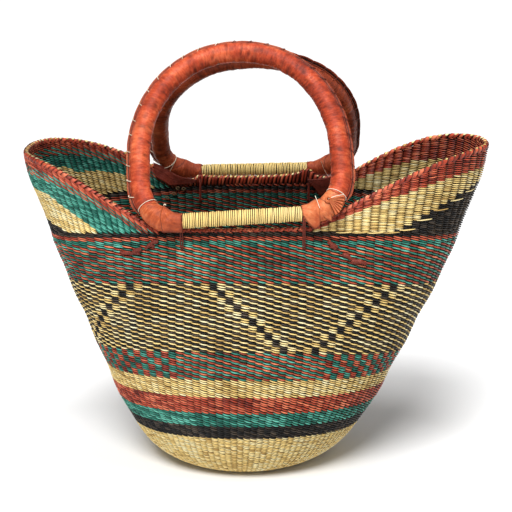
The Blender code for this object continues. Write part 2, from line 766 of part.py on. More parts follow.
def make_strap(name, handle, x, collection):
    """A flat leather strip tied in a loop round the bar, the rim and down through its slot."""
    circles = strap_circles(handle, x)
    curve = bpy.data.curves.new(name, "CURVE")
    curve.dimensions = "2D"
    curve.fill_mode = "BOTH"
    curve.extrude = STRAP_WIDTH / 2.0
    for grow in (0.0, STRAP_THICKNESS):
        spline = curve.splines.new("POLY")
        outline = loop_outline(circles, grow)
        spline.points.add(len(outline) - 1)
        for place, (y, z) in zip(spline.points, outline):
            place.co = (y, z, 0.0, 1.0)
        spline.use_cyclic_u = True
    item = bpy.data.objects.new(name, curve)
    item.matrix_world = Matrix((
        (0.0, 0.0, 1.0, x), (1.0, 0.0, 0.0, 0.0), (0.0, 1.0, 0.0, 0.0), (0.0, 0.0, 0.0, 1.0)))
    item = curve_to_mesh(item, name, WELD_DISTANCE)
    finish_part(item, LEATHER, LEATHER_ROUGHNESS, collection)


def cut_strap_slot(band, name, handle, x, cutters):
    """The slit in the weave that a strap passes through."""
    slot_z = slot_height()
    mesh = bmesh.new()
    bmesh.ops.create_cube(mesh, size=1.0)
    size = (STRAP_WIDTH + 2.0 * SLOT_CLEARANCE, WALL_THICKNESS + 2.0 * CUT_OVERRUN,
            STRAP_THICKNESS + 2.0 * SLOT_CLEARANCE)
    bmesh.ops.scale(mesh, verts=mesh.verts, vec=size)
    bmesh.ops.translate(mesh, verts=mesh.verts, vec=(x, wall_middle(x, slot_z, handle.side),
                                                     slot_z))
    data = bpy.data.meshes.new(name)
    mesh.to_mesh(data)
    mesh.free()
    cutter = bpy.data.objects.new(name, data)
    cutter.hide_render = True
    cutter.display_type = "WIRE"
    cutters.objects.link(cutter)
    cut = band.modifiers.new(name, "BOOLEAN")
    cut.operation = "DIFFERENCE"
    cut.solver = "EXACT"
    cut.object = cutter


def main():
    clear_scene()
    collection = make_collection("bolga_basket")
    cutters = make_collection("cutters")
    make_base(collection)
    bands = make_wall_bands(collection)
    make_ears(collection)
    make_rim(collection)
    section = seam_section(cutters)
    handles = (
        Handle("front_handle", -1, FRONT_BAR_OFFSET, FRONT_BAR_RISE, FRONT_HALF_WIDTH,
               FRONT_ARCH_HEIGHT, FRONT_TILT),
        Handle("rear_handle", 1, REAR_BAR_OFFSET, REAR_BAR_RISE, REAR_HALF_WIDTH,
               REAR_ARCH_HEIGHT, REAR_TILT),
    )
    for handle in handles:
        make_handle(handle, section, collection, cutters)
        for side_name, x in strap_places(handle):
            stem = handle.name.replace("handle", side_name)
            make_strap(stem + "_tie_strap", handle, x, collection)
            cut_strap_slot(bands["fine_red_teal_band"], stem + "_slot", handle, x, cutters)


main()
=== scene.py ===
"""Looks of the bolga basket: a twined straw basket with two leather-covered ring handles.

Units are metres, in the CAD frame. Every weaver is a short strand that passes over one stake,
outside or inside, so the colour bands, the zigzag and the checks come from the strands.
"""
import math

import bpy
import numpy as np
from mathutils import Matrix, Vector


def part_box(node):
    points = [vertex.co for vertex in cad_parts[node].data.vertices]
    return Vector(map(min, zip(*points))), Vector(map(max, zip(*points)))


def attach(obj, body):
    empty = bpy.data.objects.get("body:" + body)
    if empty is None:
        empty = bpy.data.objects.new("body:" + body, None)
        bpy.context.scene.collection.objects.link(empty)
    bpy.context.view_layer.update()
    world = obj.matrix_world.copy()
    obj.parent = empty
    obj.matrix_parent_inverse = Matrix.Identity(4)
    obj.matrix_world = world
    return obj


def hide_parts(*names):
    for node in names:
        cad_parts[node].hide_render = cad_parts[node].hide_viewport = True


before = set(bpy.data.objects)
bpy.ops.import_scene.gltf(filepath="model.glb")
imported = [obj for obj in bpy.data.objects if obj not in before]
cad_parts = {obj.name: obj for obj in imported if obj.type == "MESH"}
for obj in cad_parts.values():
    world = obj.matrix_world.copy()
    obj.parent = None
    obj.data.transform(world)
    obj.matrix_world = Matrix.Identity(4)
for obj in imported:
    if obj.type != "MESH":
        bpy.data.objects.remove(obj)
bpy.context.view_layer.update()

# Wall sizes, as in the CAD
EAR_HALF_WIDTH = 0.2280
BASE_RADIUS = 0.0590
BASE_OFFSET = -0.0115
WALL = 0.0050
DIP_HEIGHT = 0.2610
EAR_RISE = 0.0630
EAR_HEIGHT = DIP_HEIGHT + EAR_RISE
LEFT_EAR_DROP = 0.0065
RIM_SLANT = 0.0030
BRAID_HEIGHT = 0.0046
BRAID_DIP_HEIGHT = 0.0024
RED_RIM_HEIGHT = 0.0150
RED_DIP_HEIGHT = 0.0016
LEFT_DIP_HALF_LENGTH = 0.0820
RIGHT_DIP_HALF_LENGTH = 0.0660
REAR_DIP_HALF_LENGTH = 0.0920
LEFT_CLIMB_POWERS = (1.50, 0.70)
RIGHT_CLIMB_POWERS = (1.10, 1.05)
WALL_SAG = 0.0150
FRONT_WALL_HEIGHT = DIP_HEIGHT - BRAID_DIP_HEIGHT - RED_DIP_HEIGHT
SIDE_WALL_HEIGHT = FRONT_WALL_HEIGHT - WALL_SAG
PROFILE_HEIGHTS = (0.0, 0.010, 0.030, 0.072, 0.154, 0.235, 0.315, 0.394, 0.474,
                   0.551, 0.628, 0.705, 0.760, 0.837, 0.911, 1.0)
PROFILE_WIDTHS = (0.0, 0.072, 0.160, 0.260, 0.365, 0.453, 0.511, 0.585, 0.642,
                  0.716, 0.770, 0.830, 0.860, 0.914, 0.967, 1.0)
BELLY_HALF_DEPTH = 0.1130
TOP_HALF_DEPTH = 0.1015
BELLY_RISES = (0.0, 0.180, 0.370, 0.560, 0.740, 0.850, 0.925, 0.975, 1.0, 0.990,
               0.900, 0.700, 0.420, 0.0, 0.0, 0.0)
BELLY_TOP = 0.474
TOP_POWER = 2.6
LEFT_EAR_SPREAD = 0.020
RIGHT_EAR_SPREAD = -0.016
SIDE_ROWS = (0.0, 0.172, 0.226, 0.284, 0.356, 0.420, 0.505, 0.790, 0.9522, 0.9682, 0.9842, 1.0)
FRONT_ROWS = (0.0, 0.192, 0.244, 0.300, 0.368, 0.439, 0.550, 0.815, 0.9550, 0.9700, 0.9850, 1.0)
ROW_TILTS = (0.0, 0.0, 0.0, 0.1, 0.2, 0.5, 1.0, 0.3, 0.0, 0.0, 0.0, 0.0)
ROW_TILT_HEIGHT = 0.0035
ROW_SWEEP_POWER = 1.7
VIEW_SLOPE = 0.268
EAR_NARROWING = (0.016, 0.007)
LEFT_WEDGE = (0.0545, 0.71)
RIGHT_WEDGE = (0.0480, 0.64)
EAR_START = 0.6
SHIFT_POWER = 1.3
WEDGE_ROOM = 0.75
REAR_WEDGE = (0.034, 0.50, 0.34)
REAR_WEDGE_POWER = 0.8
REAR_WEDGE_ROOM = 0.62
PROBE_TURN = math.radians(0.5)
PROBE_RISE = 0.00065
FRONT_BAR_OFFSET = -0.0122
REAR_BAR_OFFSET = -0.0016

# Handle sizes, as in the CAD
BAR_HALF_LENGTH = 0.0620
CORNER_HEIGHT = 0.0400
ARCH_FOOT = 0.0600
ARCH_POWER = 2.1
SLEEVE_RADIUS = 0.0095
BAR_CORE_RADIUS = 0.0049
FULL_CORE_RADIUS = 0.0075
CORNER_SWELL = 0.0024
STAND = 0.1074
WRAP_END = 0.60

# Name, side, bar offset and height, half width, arch height and tilt of each handle
HANDLES = (("front_handle", -1, FRONT_BAR_OFFSET, 0.2720, 0.0938, 0.1700, 3.6),
           ("rear_handle", 1, REAR_BAR_OFFSET, 0.2718, 0.0965, 0.1630, 1.2))

# Handle details
CORNER_RINGS = 90
SLEEVE_RINGS = 620
SLEEVE_SIDES = 56
SLEEVE_BORE = 0.0079
STITCH_STEP = 0.0148
STITCH_LENGTH = 0.0070
WRAP_RINGS = 190
WRAP_SIDES = 48
WRAP_START = -0.0072
WRAP_BORE = 0.0058
WINDING_LOOPS = 65
WINDING_HALF_LENGTH = 0.0556
WINDING_RADIUS = 0.0063
WINDING_HALF = (0.00070, 0.00085)
TWINE_HALF = 0.00032
BUNDLE_RODS = 7
BUNDLE_REACH = 0.0032
BUNDLE_HALF_LENGTH = 0.064
ROD_HALF = 0.0019
LACE_SHIFTS = (-0.0007, 0.0007)
LACE_HALF = 0.0006
LACE_POINTS = 48
SLEEVE_LAP = 0.0015
SEAM_TAPER = 0.006
THREAD_ROOM = 0.004

# Sides of a handle by the sign of X
SIDE_NAMES = {-1: "left", 1: "right"}

# Columns of stakes round the wall; higher up, those at its ends are wider
COLUMNS = 116
WIDENING_HEIGHTS = (0.100, 0.150, 0.235)
WIDENING_SHARES = (-0.05, 0.03, 0.18)
STRIPE_TOP = 0.205
STAKE_HALF_DEPTH = 0.0007
STAKE_FOOT = 0.0015

# Base: radius of its outer and inner rings, and how many stakes stand outside each radius
BASE_RINGS = (BASE_RADIUS - 0.001, 0.004)
BASE_STAKES = ((0.030, 58), (0.015, 30), (0.0, 14))
BASE_MIDDLE = 0.0025
BASE_BULGE = 0.0014
BASE_THICK = 0.0010

# Table of the columns' angles: levels, their height, and cells to a column
LEVELS = 170
LEVEL = 0.002
CELLS = 4
TABLE_STEPS = 1441

# Width of an ear's columns, as a share of the wall's, on the left and on the right
EAR_COLUMNS = {-1: 0.62, 1: 0.92}
EAR_ROWS = 44

# Rows: height of one, half thickness of a strand, and sides of a stitch's tube
PITCH = 0.0021
STRAND = 0.00100
SIDES = {"out": 8, "in": 6}
STEPS = {"out": 6, "in": 4}
LAP = 0.16
WOBBLE = 0.06
TIP_SPREAD = 0.10
SIZE_SPREAD = 0.07
LEAN = 0.0002
# Inner stitches' painted light, as a share of the outer ones': painted shade on the basket's
# inside
INSIDE_PAINTED_SHADE = 0.72
PIECE_FACES = 95000

# Name, number of rows, and the colour of a plain band
BANDS = (
    ("base_natural_band", 29, "natural"), ("low_black_band", 6, "black"),
    ("low_teal_band", 6, "teal"), ("low_red_band", 7, "red"),
    ("middle_natural_band", 8, "natural"), ("check_band", 12, None), ("stripe_band", 30, None),
    ("fine_red_teal_band", 16, None), ("teal_line", 2, "teal"), ("red_line", 2, "red"),
    ("black_line", 2, "black"),
)
SLANTS = {"stripe_band": 0.66, "fine_red_teal_band": 0.80, "check_band": 0.85}

# Zigzag: where its arms meet, in degrees round the wall, and columns that the rear arms take
ZIGZAG_DEGREES = (46.9, 77.3, 140.2)
REAR_ARM_GAP = 11
REAR_ARM_STEPS = (21, 32)
BLOCK_ROWS = 3

# Check band: where its blocks stand in each half of the way round, as shares of the whole
BLOCK_SHARES = ((0.080, 0.190), (0.250, 0.414))

# Left ear: rows of red under the braid, and the row below which red and teal end
RED_ROWS = 3
MIXED_ROWS = 7
BLACK_TIP_START = 0.86
BLACK_TIP_HEIGHT = 0.012
RIGHT_RED_ROWS = (0.3, 2.6)

# How much of its drop a row keeps with the rim, at an ear's foot, and the least row that shows
FOOT_LEVELLING = {-1: 0.35, 1: 0.5}
LEAST_ROW = 0.25

# Stitches of an ear: how far they follow their row, slant and lap, in its lower and top rows
FOLLOW = (0.55, 1.0)
EAR_SLANTS = (1.0, 1.3)
EAR_LAPS = (0.06, 0.14)

# Tongues over the right ear's black wedge: number, first column and step between them
TONGUES = 9
FIRST_TONGUE = 3.5
TONGUE_STEP = 1.75
TONGUE_HALF = 0.00070

# Rim's edge: how far it may rise at the rear, and its room beside the handle
REAR_EDGE_RISE = 0.0148
EDGE_ROOM = 0.0020
CORNER_COVER = 0.0032
WINDING_OUTSIDE = 0.0074
EDGE_HEIGHTS = (0.2550, 0.3000, 0.0005)
LEFT_FADE = (0.116, 0.016)
RIGHT_FADE = (0.098, 0.010)

# Its stitches: depth of their line under the top, their foot, and how far they stand round it
EDGE_DEPTH = 0.0021
EDGE_FOOT = 0.0004
EDGE_REACH = 0.0016
EDGE_RISE = 0.0012
EDGE_CORE_DEPTH = 0.0006
EDGE_CORE_HALF = 0.0012

# Outlines in the front handle's own plane, in metres
RIGHT_LOBE = (((0.0543, 0.0055), (0.0610, 0.0090), (0.0676, 0.0123), (0.0714, 0.0010)),
              ((0.0557, -0.0036), (0.0600, -0.0098), (0.0667, -0.0150), (0.0708, -0.0115)))
RIGHT_POINT = (((0.0700, 0.0010), (0.0762, 0.0030), (0.0809, 0.0045)),
               ((0.0730, -0.0050), (0.0770, -0.0076), (0.0818, -0.0094)))
LEFT_FOLD = (((-0.0727, 0.0146), (-0.0646, 0.0081), (-0.0564, 0.0036)),
             ((-0.0754, 0.0019), (-0.0744, -0.0100), (-0.0561, -0.0112)))
FAN_KNOT = (0.0796, 0.0078)
FAN_EDGE = ((0.0940, 0.0108), (0.0941, 0.0066), (0.0930, 0.0026), (0.0918, -0.0014),
            (0.0902, -0.0045), (0.0880, -0.0074), (0.0848, -0.0092))
FAN_PLEATS = 7
FAN_LIFT = 0.0112
FAN_FOLD = 0.0032
FAN_BOW = 0.0014

# Flaps: name, outline, height over the wrap, and seed
FLAPS = (("right_lobe", RIGHT_LOBE, 0.0010, 61), ("right_point", RIGHT_POINT, 0.0004, 62),
         ("left_fold", LEFT_FOLD, 0.0006, 63))

# Threads: name, handle, points in its plane with their height over it, and half thickness
THREADS = (
    ("fan", 0, ((0.0796, 0.0082, 0.0126), (0.0860, 0.0098, 0.0140), (0.0942, 0.0112, 0.0138)),
     0.00034),
    ("lobe", 0, ((0.0677, 0.0130, 0.0112), (0.0692, 0.0076, 0.0116), (0.0714, -0.0003, 0.0112)),
     0.00026),
    ("knot", 0, ((-0.0720, 0.0120, 0.0118), (-0.0708, 0.0128, 0.0126),
                 (-0.0698, 0.0120, 0.0118)), 0.00050),
    ("left", 1, ((-0.0948, 0.0063, 0.0105), (-0.0929, 0.0039, 0.0112),
                 (-0.0869, 0.0156, 0.0108), (-0.0809, 0.0295, 0.0100)), 0.00028),
    ("right", 1, ((0.0694, 0.0233, 0.0105), (0.0727, 0.0106, 0.0110), (0.0771, -0.0006, 0.0105)),
     0.00030),
)

# Knots of twine on the inside of the rear wall: x and height
INNER_KNOTS = ((-0.0826, 0.2560), (-0.0765, 0.2550), (-0.0872, 0.2495), (-0.0946, 0.2450))

# Leather lashed inside the rear rim under both corners: upper and lower edge by x and height
LASHINGS = (
    ("left", (((-0.1080, 0.2830), (-0.0980, 0.2785), (-0.0870, 0.2712), (-0.0760, 0.2670),
               (-0.0620, 0.2650)),
              ((-0.1060, 0.2680), (-0.0980, 0.2640), (-0.0890, 0.2590), (-0.0780, 0.2600),
               (-0.0640, 0.2620))), 91),
    ("right", (((0.0540, 0.2650), (0.0640, 0.2658), (0.0740, 0.2672), (0.0850, 0.2705)),
               ((0.0560, 0.2630), (0.0640, 0.2540), (0.0690, 0.2470), (0.0840, 0.2640))), 92),
)

# Tie ends on the front wall: points by x and height, and half thickness
WALL_KNOTS = (
    (((-0.0905, 0.2480), (-0.0950, 0.2470), (-0.1005, 0.2425)), 0.0021),
    (((-0.0940, 0.2425), (-0.0985, 0.2440), (-0.1035, 0.2400)), 0.0019),
    (((-0.1060, 0.2400), (-0.1105, 0.2390), (-0.1165, 0.2350)), 0.0022),
    (((-0.1080, 0.2355), (-0.1130, 0.2365), (-0.1175, 0.2345)), 0.0018),
    (((-0.1165, 0.2350), (-0.1220, 0.2352), (-0.1275, 0.2360)), 0.0016),
    (((0.0665, 0.2480), (0.0700, 0.2455), (0.0745, 0.2400)), 0.0022),
    (((0.0690, 0.2420), (0.0725, 0.2445), (0.0760, 0.2420)), 0.0018),
    (((0.0800, 0.2360), (0.0845, 0.2345), (0.0895, 0.2300)), 0.0023),
    (((0.0880, 0.2290), (0.0960, 0.2285), (0.1035, 0.2250)), 0.0024),
)

# Stage
FLOOR_SIZE = 60.0
WORLD_STRENGTH = 0.36
PHOTO_PIXELS = 512.0
FOCAL_PIXELS = 1600.0
CAMERA_RISE = 15.0
CAMERA_DISTANCE = 1.6
CAMERA_AIM_HEIGHT = 0.2063

random = np.random.default_rng(5)
materials = {}
edge_rise = [np.array([0.0]), np.array([0.0])]


# ---------------------------------------------------------------- wall surface
def monotone(places, values):
    """A smooth curve through points that never overshoots them, for arrays."""
    x = np.asarray(places, float)
    y = np.asarray(values, float)
    step = np.diff(x)
    slope = np.diff(y) / step
    product = slope[:-1] * slope[1:]
    total = slope[:-1] + slope[1:]
    middle = np.where(product > 0, 2 * product / np.where(total == 0, 1, total), 0)
    tangent = np.concatenate([[slope[0]], middle, [slope[-1]]])

    def curve(at):
        at = np.asarray(at, float)
        i = np.clip(np.searchsorted(x, at) - 1, 0, len(step) - 1)
        t = (at - x[i]) / step[i]
        return (y[i] * (1 + 2 * t) * (1 - t) ** 2 + tangent[i] * step[i] * t * (1 - t) ** 2
                + y[i + 1] * t * t * (3 - 2 * t) + tangent[i + 1] * step[i] * t * t * (t - 1))
    return curve


width_curve = monotone(PROFILE_HEIGHTS, PROFILE_WIDTHS)
belly_curve = monotone(PROFILE_HEIGHTS, BELLY_RISES)


def signed_power(value, power):
    """A power that keeps its number's sign."""
    return np.sign(value) * np.abs(value) ** power


def outer(angle, z):
    """Points on the outside of the wall."""
    across = np.cos(angle)
    along = np.sin(angle)
    share = z / EAR_HEIGHT
    half_width = BASE_RADIUS + (EAR_HALF_WIDTH - BASE_RADIUS) * width_curve(share)
    foot = np.where(z < EAR_HEIGHT * BELLY_TOP, BASE_RADIUS, TOP_HALF_DEPTH)
    depth = foot + (BELLY_HALF_DEPTH - foot) * belly_curve(share)
    ear = np.maximum(0.0, (share - EAR_START) / (1 - EAR_START))
    depth = depth + np.where(across < 0, LEFT_EAR_SPREAD, RIGHT_EAR_SPREAD) * ear * across ** 2
    power = 2.0 / (2.0 + (TOP_POWER - 2.0) * np.minimum(1.0, z / DIP_HEIGHT))
    shift = BASE_OFFSET * np.maximum(0.0, 1.0 - z / DIP_HEIGHT) ** SHIFT_POWER
    x = signed_power(across, power) * half_width + shift
    return np.stack([x, signed_power(along, power) * depth, z + 0 * x], -1)


def unit(vectors):
    """Vectors brought to length one."""
    return vectors / np.maximum(np.linalg.norm(vectors, axis=-1, keepdims=True), 1e-12)


def frames(lines, up, closed=False):
    """Directions across lines and away from them, square to their run; up is about away."""
    if closed:
        run = unit(np.roll(lines, -1, axis=-2) - np.roll(lines, 1, axis=-2))
    else:
        run = unit(np.gradient(lines, axis=-2))
    side = unit(np.cross(up, run))
    return side, unit(np.cross(run, side))


def wall(angle, z):
    """Middle of the wall, its outward normal, and how far one metre of height runs up it."""
    low = np.maximum(0.0, z - PROBE_RISE)
    around = outer(angle + PROBE_TURN, z) - outer(angle - PROBE_TURN, z)
    upward = outer(angle, low + 2 * PROBE_RISE) - outer(angle, low)
    normal = unit(np.cross(around, upward))
    stretch = np.linalg.norm(upward, axis=-1) / (2 * PROBE_RISE)
    return outer(angle, z) - normal * (WALL / 2), normal, stretch


def column_share(even, z):
    """Share of the way round at which a column stands: higher up, those at the ends are wider."""
    wide = np.interp(z, WIDENING_HEIGHTS, WIDENING_SHARES)
    return even + wide * np.sin(4 * math.pi * even) / (4 * math.pi)


def make_angle_table():
    """Angle of every quarter column at every level, less the angle that equal steps give."""
    cells = np.arange(COLUMNS * CELLS + 1) / CELLS
    even = cells / COLUMNS
    angles = np.linspace(0, 2 * math.pi, TABLE_STEPS)
    rows = []
    for level in range(LEVELS):
        points = outer(angles, np.full(len(angles), level * LEVEL))
        length = np.concatenate([[0], np.cumsum(np.linalg.norm(np.diff(points, axis=0), axis=1))])
        share = column_share(even, level * LEVEL)
        rows.append(np.interp(share, length / length[-1], angles) - 2 * math.pi * cells / COLUMNS)
    return np.array(rows)


angle_table = make_angle_table()


def angle_at(column, z):
    """Angle of a column, which need not be whole, at a height."""
    cell = np.mod(column, COLUMNS) * CELLS
    i = np.minimum(cell.astype(int), COLUMNS * CELLS - 1)
    f = cell - i
    level = np.clip(z / LEVEL, 0, LEVELS - 1.001)
    k = level.astype(int)
    g = level - k
    low = angle_table[k, i] * (1 - f) + angle_table[k, i + 1] * f
    high = angle_table[k + 1, i] * (1 - f) + angle_table[k + 1, i + 1] * f
    return 2 * math.pi * column / COLUMNS + low * (1 - g) + high * g


def settle(height, column, start=0.15, steps=5):
    """Angle and height where a row line, given by angle, crosses a column."""
    z = np.full(np.shape(column), start)
    for _ in range(steps):
        angle = angle_at(column, z)
        z = height(angle)
    return angle, z


# ---------------------------------------------------------------- row lines
def row_height(row, angle):
    """Height of the line between two bands, counted up from the base."""
    side = SIDE_WALL_HEIGHT * SIDE_ROWS[row]
    front = FRONT_WALL_HEIGHT * FRONT_ROWS[row]
    sweep = np.abs(np.sin(angle)) ** ROW_SWEEP_POWER
    return side + (front - side) * sweep - ROW_TILT_HEIGHT * ROW_TILTS[row] * np.cos(angle)


def across_share(angle):
    """How far across an angle is, as a share of the half width."""
    return signed_power(np.cos(angle), 2.0 / TOP_POWER)


def rim_height(angle):
    """Top of the wall: a dip at each handle, and the two ears."""
    rear = (1 + np.sin(angle)) / 2
    across = across_share(angle)
    left = across < 0
    dip = FRONT_BAR_OFFSET + (REAR_BAR_OFFSET - FRONT_BAR_OFFSET) * rear
    half = np.where(left, LEFT_DIP_HALF_LENGTH, RIGHT_DIP_HALF_LENGTH)
    half = half + (REAR_DIP_HALF_LENGTH - half) * rear
    away = np.abs(across * EAR_HALF_WIDTH - dip)
    reach = EAR_HALF_WIDTH - np.where(left, -dip, dip) - half
    climb = np.clip((away - half) / reach, 0, 1)
    front_power, rear_power = (np.where(left, *powers)
                               for powers in zip(LEFT_CLIMB_POWERS, RIGHT_CLIMB_POWERS))
    power = front_power + (rear_power - front_power) * rear
    height = DIP_HEIGHT + RIM_SLANT * across
    ear = EAR_HEIGHT - np.where(left, LEFT_EAR_DROP, 0.0)
    height = height + (ear - height) * np.sin(climb * math.pi / 2) ** power
    share = np.clip((height / EAR_HEIGHT - EAR_START) / (1 - EAR_START), 0, 1)
    narrow = np.where(left, *EAR_NARROWING) * (share * np.cos(angle) ** 2)
    return height - VIEW_SLOPE * narrow * signed_power(np.sin(angle), 2.0 / TOP_POWER)


def rise_share(angle):
    """How far the rim has risen from the dip to an ear."""
    return np.clip((rim_height(angle) - DIP_HEIGHT) / EAR_RISE, 0, 1)


def braid_foot(angle):
    """Bottom of the braided edge."""
    extra = (BRAID_HEIGHT - BRAID_DIP_HEIGHT) * rise_share(angle)
    return rim_height(angle) - BRAID_DIP_HEIGHT - extra


def red_foot(angle):
    """Bottom of the red rows under the braid."""
    foot = braid_foot(angle) - RED_DIP_HEIGHT - RED_RIM_HEIGHT * rise_share(angle)
    return np.maximum(row_height(-1, angle), foot)


def wedge_top(angle):
    """Top of the lower short rows in an ear."""
    across = across_share(angle)
    left = LEFT_WEDGE[0] * np.maximum(0, (-across - LEFT_WEDGE[1]) / (1 - LEFT_WEDGE[1]))
    right = RIGHT_WEDGE[0] * np.maximum(0, (across - RIGHT_WEDGE[1]) / (1 - RIGHT_WEDGE[1]))
    room = (red_foot(angle) - row_height(-1, angle)) * WEDGE_ROOM
    return row_height(-1, angle) + np.minimum(np.maximum(left, right), room)


# ---------------------------------------------------------------- materials
def new_material(name):
    """A material with its node tree and its shader."""
    material = bpy.data.materials.new(name)
    material.use_nodes = True
    tree = material.node_tree
    return material, tree, tree.nodes["Principled BSDF"]


def wire(tree, made, **values):
    """Sets a node's inputs and properties: an output is linked, and another value is set."""
    for key, value in values.items():
        if isinstance(value, bpy.types.NodeSocket):
            tree.links.new(value, made.inputs[key])
        elif key in made.inputs:
            made.inputs[key].default_value = value
        else:
            setattr(made, key, value)
    return made


def node(tree, kind, **values):
    """A new node with its inputs and properties."""
    return wire(tree, tree.nodes.new(kind), **values)


def ramp(tree, source, stops):
    """A colour ramp from a value."""
    made = tree.nodes.new("ShaderNodeValToRGB")
    elements = made.color_ramp.elements
    while len(elements) < len(stops):
        elements.new(0.5)
    for element, (place, colour) in zip(elements, stops):
        element.position = place
        element.color = (*colour, 1.0)
    tree.links.new(source, made.inputs["Fac"])
    return made.outputs["Color"]


def strand_coordinates(tree, scale):
    """The strand attribute (length, share around, random number), and it scaled for a texture."""
    attribute = node(tree, "ShaderNodeAttribute", attribute_name="strand").outputs["Vector"]
    mapping = node(tree, "ShaderNodeMapping", Vector=attribute, Scale=scale)
    return attribute, mapping.outputs["Vector"]


def weighed(tree, parts, less=0.0):
    """Sum of some values, each times its own weight, less a number."""
    total = None
    for value, weight in parts:
        made = node(tree, "ShaderNodeMath", operation="MULTIPLY_ADD")
        made.inputs[1].default_value = weight
        tree.links.new(value, made.inputs[0])
        if total is None:
            made.inputs[2].default_value = -less
        else:
            tree.links.new(total, made.inputs[2])
        total = made.outputs[0]
    return total


def paint_shade_in_grooves(tree, colour, painted_shade_colour):
    """Paints shade: darkens a colour towards the painted shade colour where the painted light
    attribute is low, as deep in grooves and folds.
    """
    groove = node(tree, "ShaderNodeAttribute", attribute_name="groove")
    mixed = node(tree, "ShaderNodeMix", data_type="RGBA")
    mixed.inputs[6].default_value = (*painted_shade_colour, 1.0)
    tree.links.new(groove.outputs["Fac"], mixed.inputs[0])
    tree.links.new(colour, mixed.inputs[7])
    return mixed.outputs[2]


def straw(name, painted_shade_colour, dark, middle, light, roughness=0.5):
    """Twisted straw: fine fibres along the strand, and each strand its own shade."""
    material, tree, shader = new_material(name)
    attribute, vector = strand_coordinates(tree, (160.0, 14.0, 97.0))
    place = node(tree, "ShaderNodeTexCoord").outputs["Object"]
    fibres = node(tree, "ShaderNodeTexNoise", Vector=vector, Scale=1.0, Detail=3.0,
                  Roughness=0.6).outputs["Fac"]
    patches = node(tree, "ShaderNodeTexNoise", Vector=place, Scale=22.0, Detail=2.0)
    split = node(tree, "ShaderNodeSeparateXYZ", Vector=attribute)
    shade = weighed(tree, ((split.outputs["Z"], 0.50), (fibres, 0.55),
                           (patches.outputs["Fac"], 0.55)), 0.30)
    colour = ramp(tree, shade, ((0.15, dark), (0.50, middle), (0.86, light)))
    raised = node(tree, "ShaderNodeBump", Height=fibres, Strength=0.4, Distance=0.0003)
    # The base colour takes painted shade in the grooves
    wire(tree, shader, **{"Base Color": paint_shade_in_grooves(tree, colour, painted_shade_colour), "Roughness": roughness,
                          "Specular IOR Level": 0.3, "Normal": raised.outputs["Normal"]})
    materials[name] = material


def leather(name, painted_shade_colour, dark, middle, light, roughness=0.46):
    """Thin dyed goatskin: mottled, finely creased across the handle, shiny where it is rubbed."""
    material, tree, shader = new_material(name)
    vector = strand_coordinates(tree, (560.0, 9.0, 31.0))[1]
    place = node(tree, "ShaderNodeTexCoord").outputs["Object"]
    mottle, broad, creases = (
        node(tree, "ShaderNodeTexNoise", Vector=source, Scale=scale, Detail=detail,
             Roughness=rough).outputs["Fac"]
        for source, scale, detail, rough in ((place, 48.0, 6.0, 0.65), (place, 11.0, 2.0, 0.5),
                                             (vector, 1.0, 4.0, 0.65)))
    shade = weighed(tree, ((mottle, 0.75), (creases, 0.55), (broad, 0.60)), 0.45)
    colour = ramp(tree, shade, ((0.26, dark), (0.50, middle), (0.78, light)))
    gloss = node(tree, "ShaderNodeMapRange", Value=mottle,
                 **{"From Min": 0.3, "From Max": 0.7, "To Min": roughness + 0.16,
                    "To Max": roughness - 0.08})
    grain = node(tree, "ShaderNodeTexVoronoi", Vector=place, Scale=900.0)
    fine = node(tree, "ShaderNodeBump", Height=grain.outputs["Distance"], Strength=0.25,
                Distance=0.0002)
    raised = node(tree, "ShaderNodeBump", Height=creases, Normal=fine.outputs["Normal"],
                  Strength=0.8, Distance=0.0012)
    # The base colour takes painted shade in the creases and folds
    wire(tree, shader, **{"Base Color": paint_shade_in_grooves(tree, colour, painted_shade_colour),
                          "Roughness": gloss.outputs["Result"], "Specular IOR Level": 0.25,
                          "Normal": raised.outputs["Normal"]})
    materials[name] = material


def make_materials():
    """All colours: the painted shade colour deep in the grooves, then dark, middle and light."""
    for name, *shades in (
            ("natural", (0.030, 0.014, 0.004), (0.46, 0.27, 0.07), (1.0, 0.73, 0.26),
             (1.0, 0.93, 0.58)),
            ("black", (0.001, 0.001, 0.001), (0.001, 0.001, 0.001), (0.006, 0.005, 0.005),
             (0.110, 0.080, 0.055)),
            ("teal", (0.001, 0.006, 0.005), (0.003, 0.060, 0.044), (0.018, 0.205, 0.145),
             (0.160, 0.600, 0.460), 0.45),
            ("red", (0.012, 0.001, 0.001), (0.130, 0.014, 0.007), (0.480, 0.062, 0.026),
             (0.900, 0.250, 0.120), 0.45),
            # Stake straw is dark brown as painted shade for the gaps between stitches; the bar's
            # straw bundle and the inner knots use it too
            ("stake", (0.008, 0.005, 0.003), (0.024, 0.014, 0.006), (0.060, 0.036, 0.016),
             (0.16, 0.10, 0.05), 0.8),
            ("twine", (0.20, 0.13, 0.08), (0.45, 0.34, 0.22), (0.74, 0.62, 0.46),
             (0.92, 0.86, 0.72))):
        straw(name, *shades)
    for name, *shades in (
            ("leather", (0.030, 0.003, 0.001), (0.150, 0.014, 0.005), (0.400, 0.046, 0.013),
             (0.700, 0.150, 0.055)),
            ("wrap_leather", (0.030, 0.004, 0.001), (0.180, 0.024, 0.007),
             (0.430, 0.078, 0.020), (0.720, 0.230, 0.085)),
            # A darker copy of the leather, painted shade: the rear handle and the seams' back
            # leaves take it
            ("rear_leather", (0.022, 0.003, 0.001), (0.100, 0.013, 0.004),
             (0.330, 0.052, 0.016), (0.600, 0.160, 0.060)),
            ("dark_leather", (0.010, 0.002, 0.001), (0.045, 0.007, 0.004),
             (0.130, 0.018, 0.010), (0.260, 0.050, 0.028))):
        leather(name, *shades)


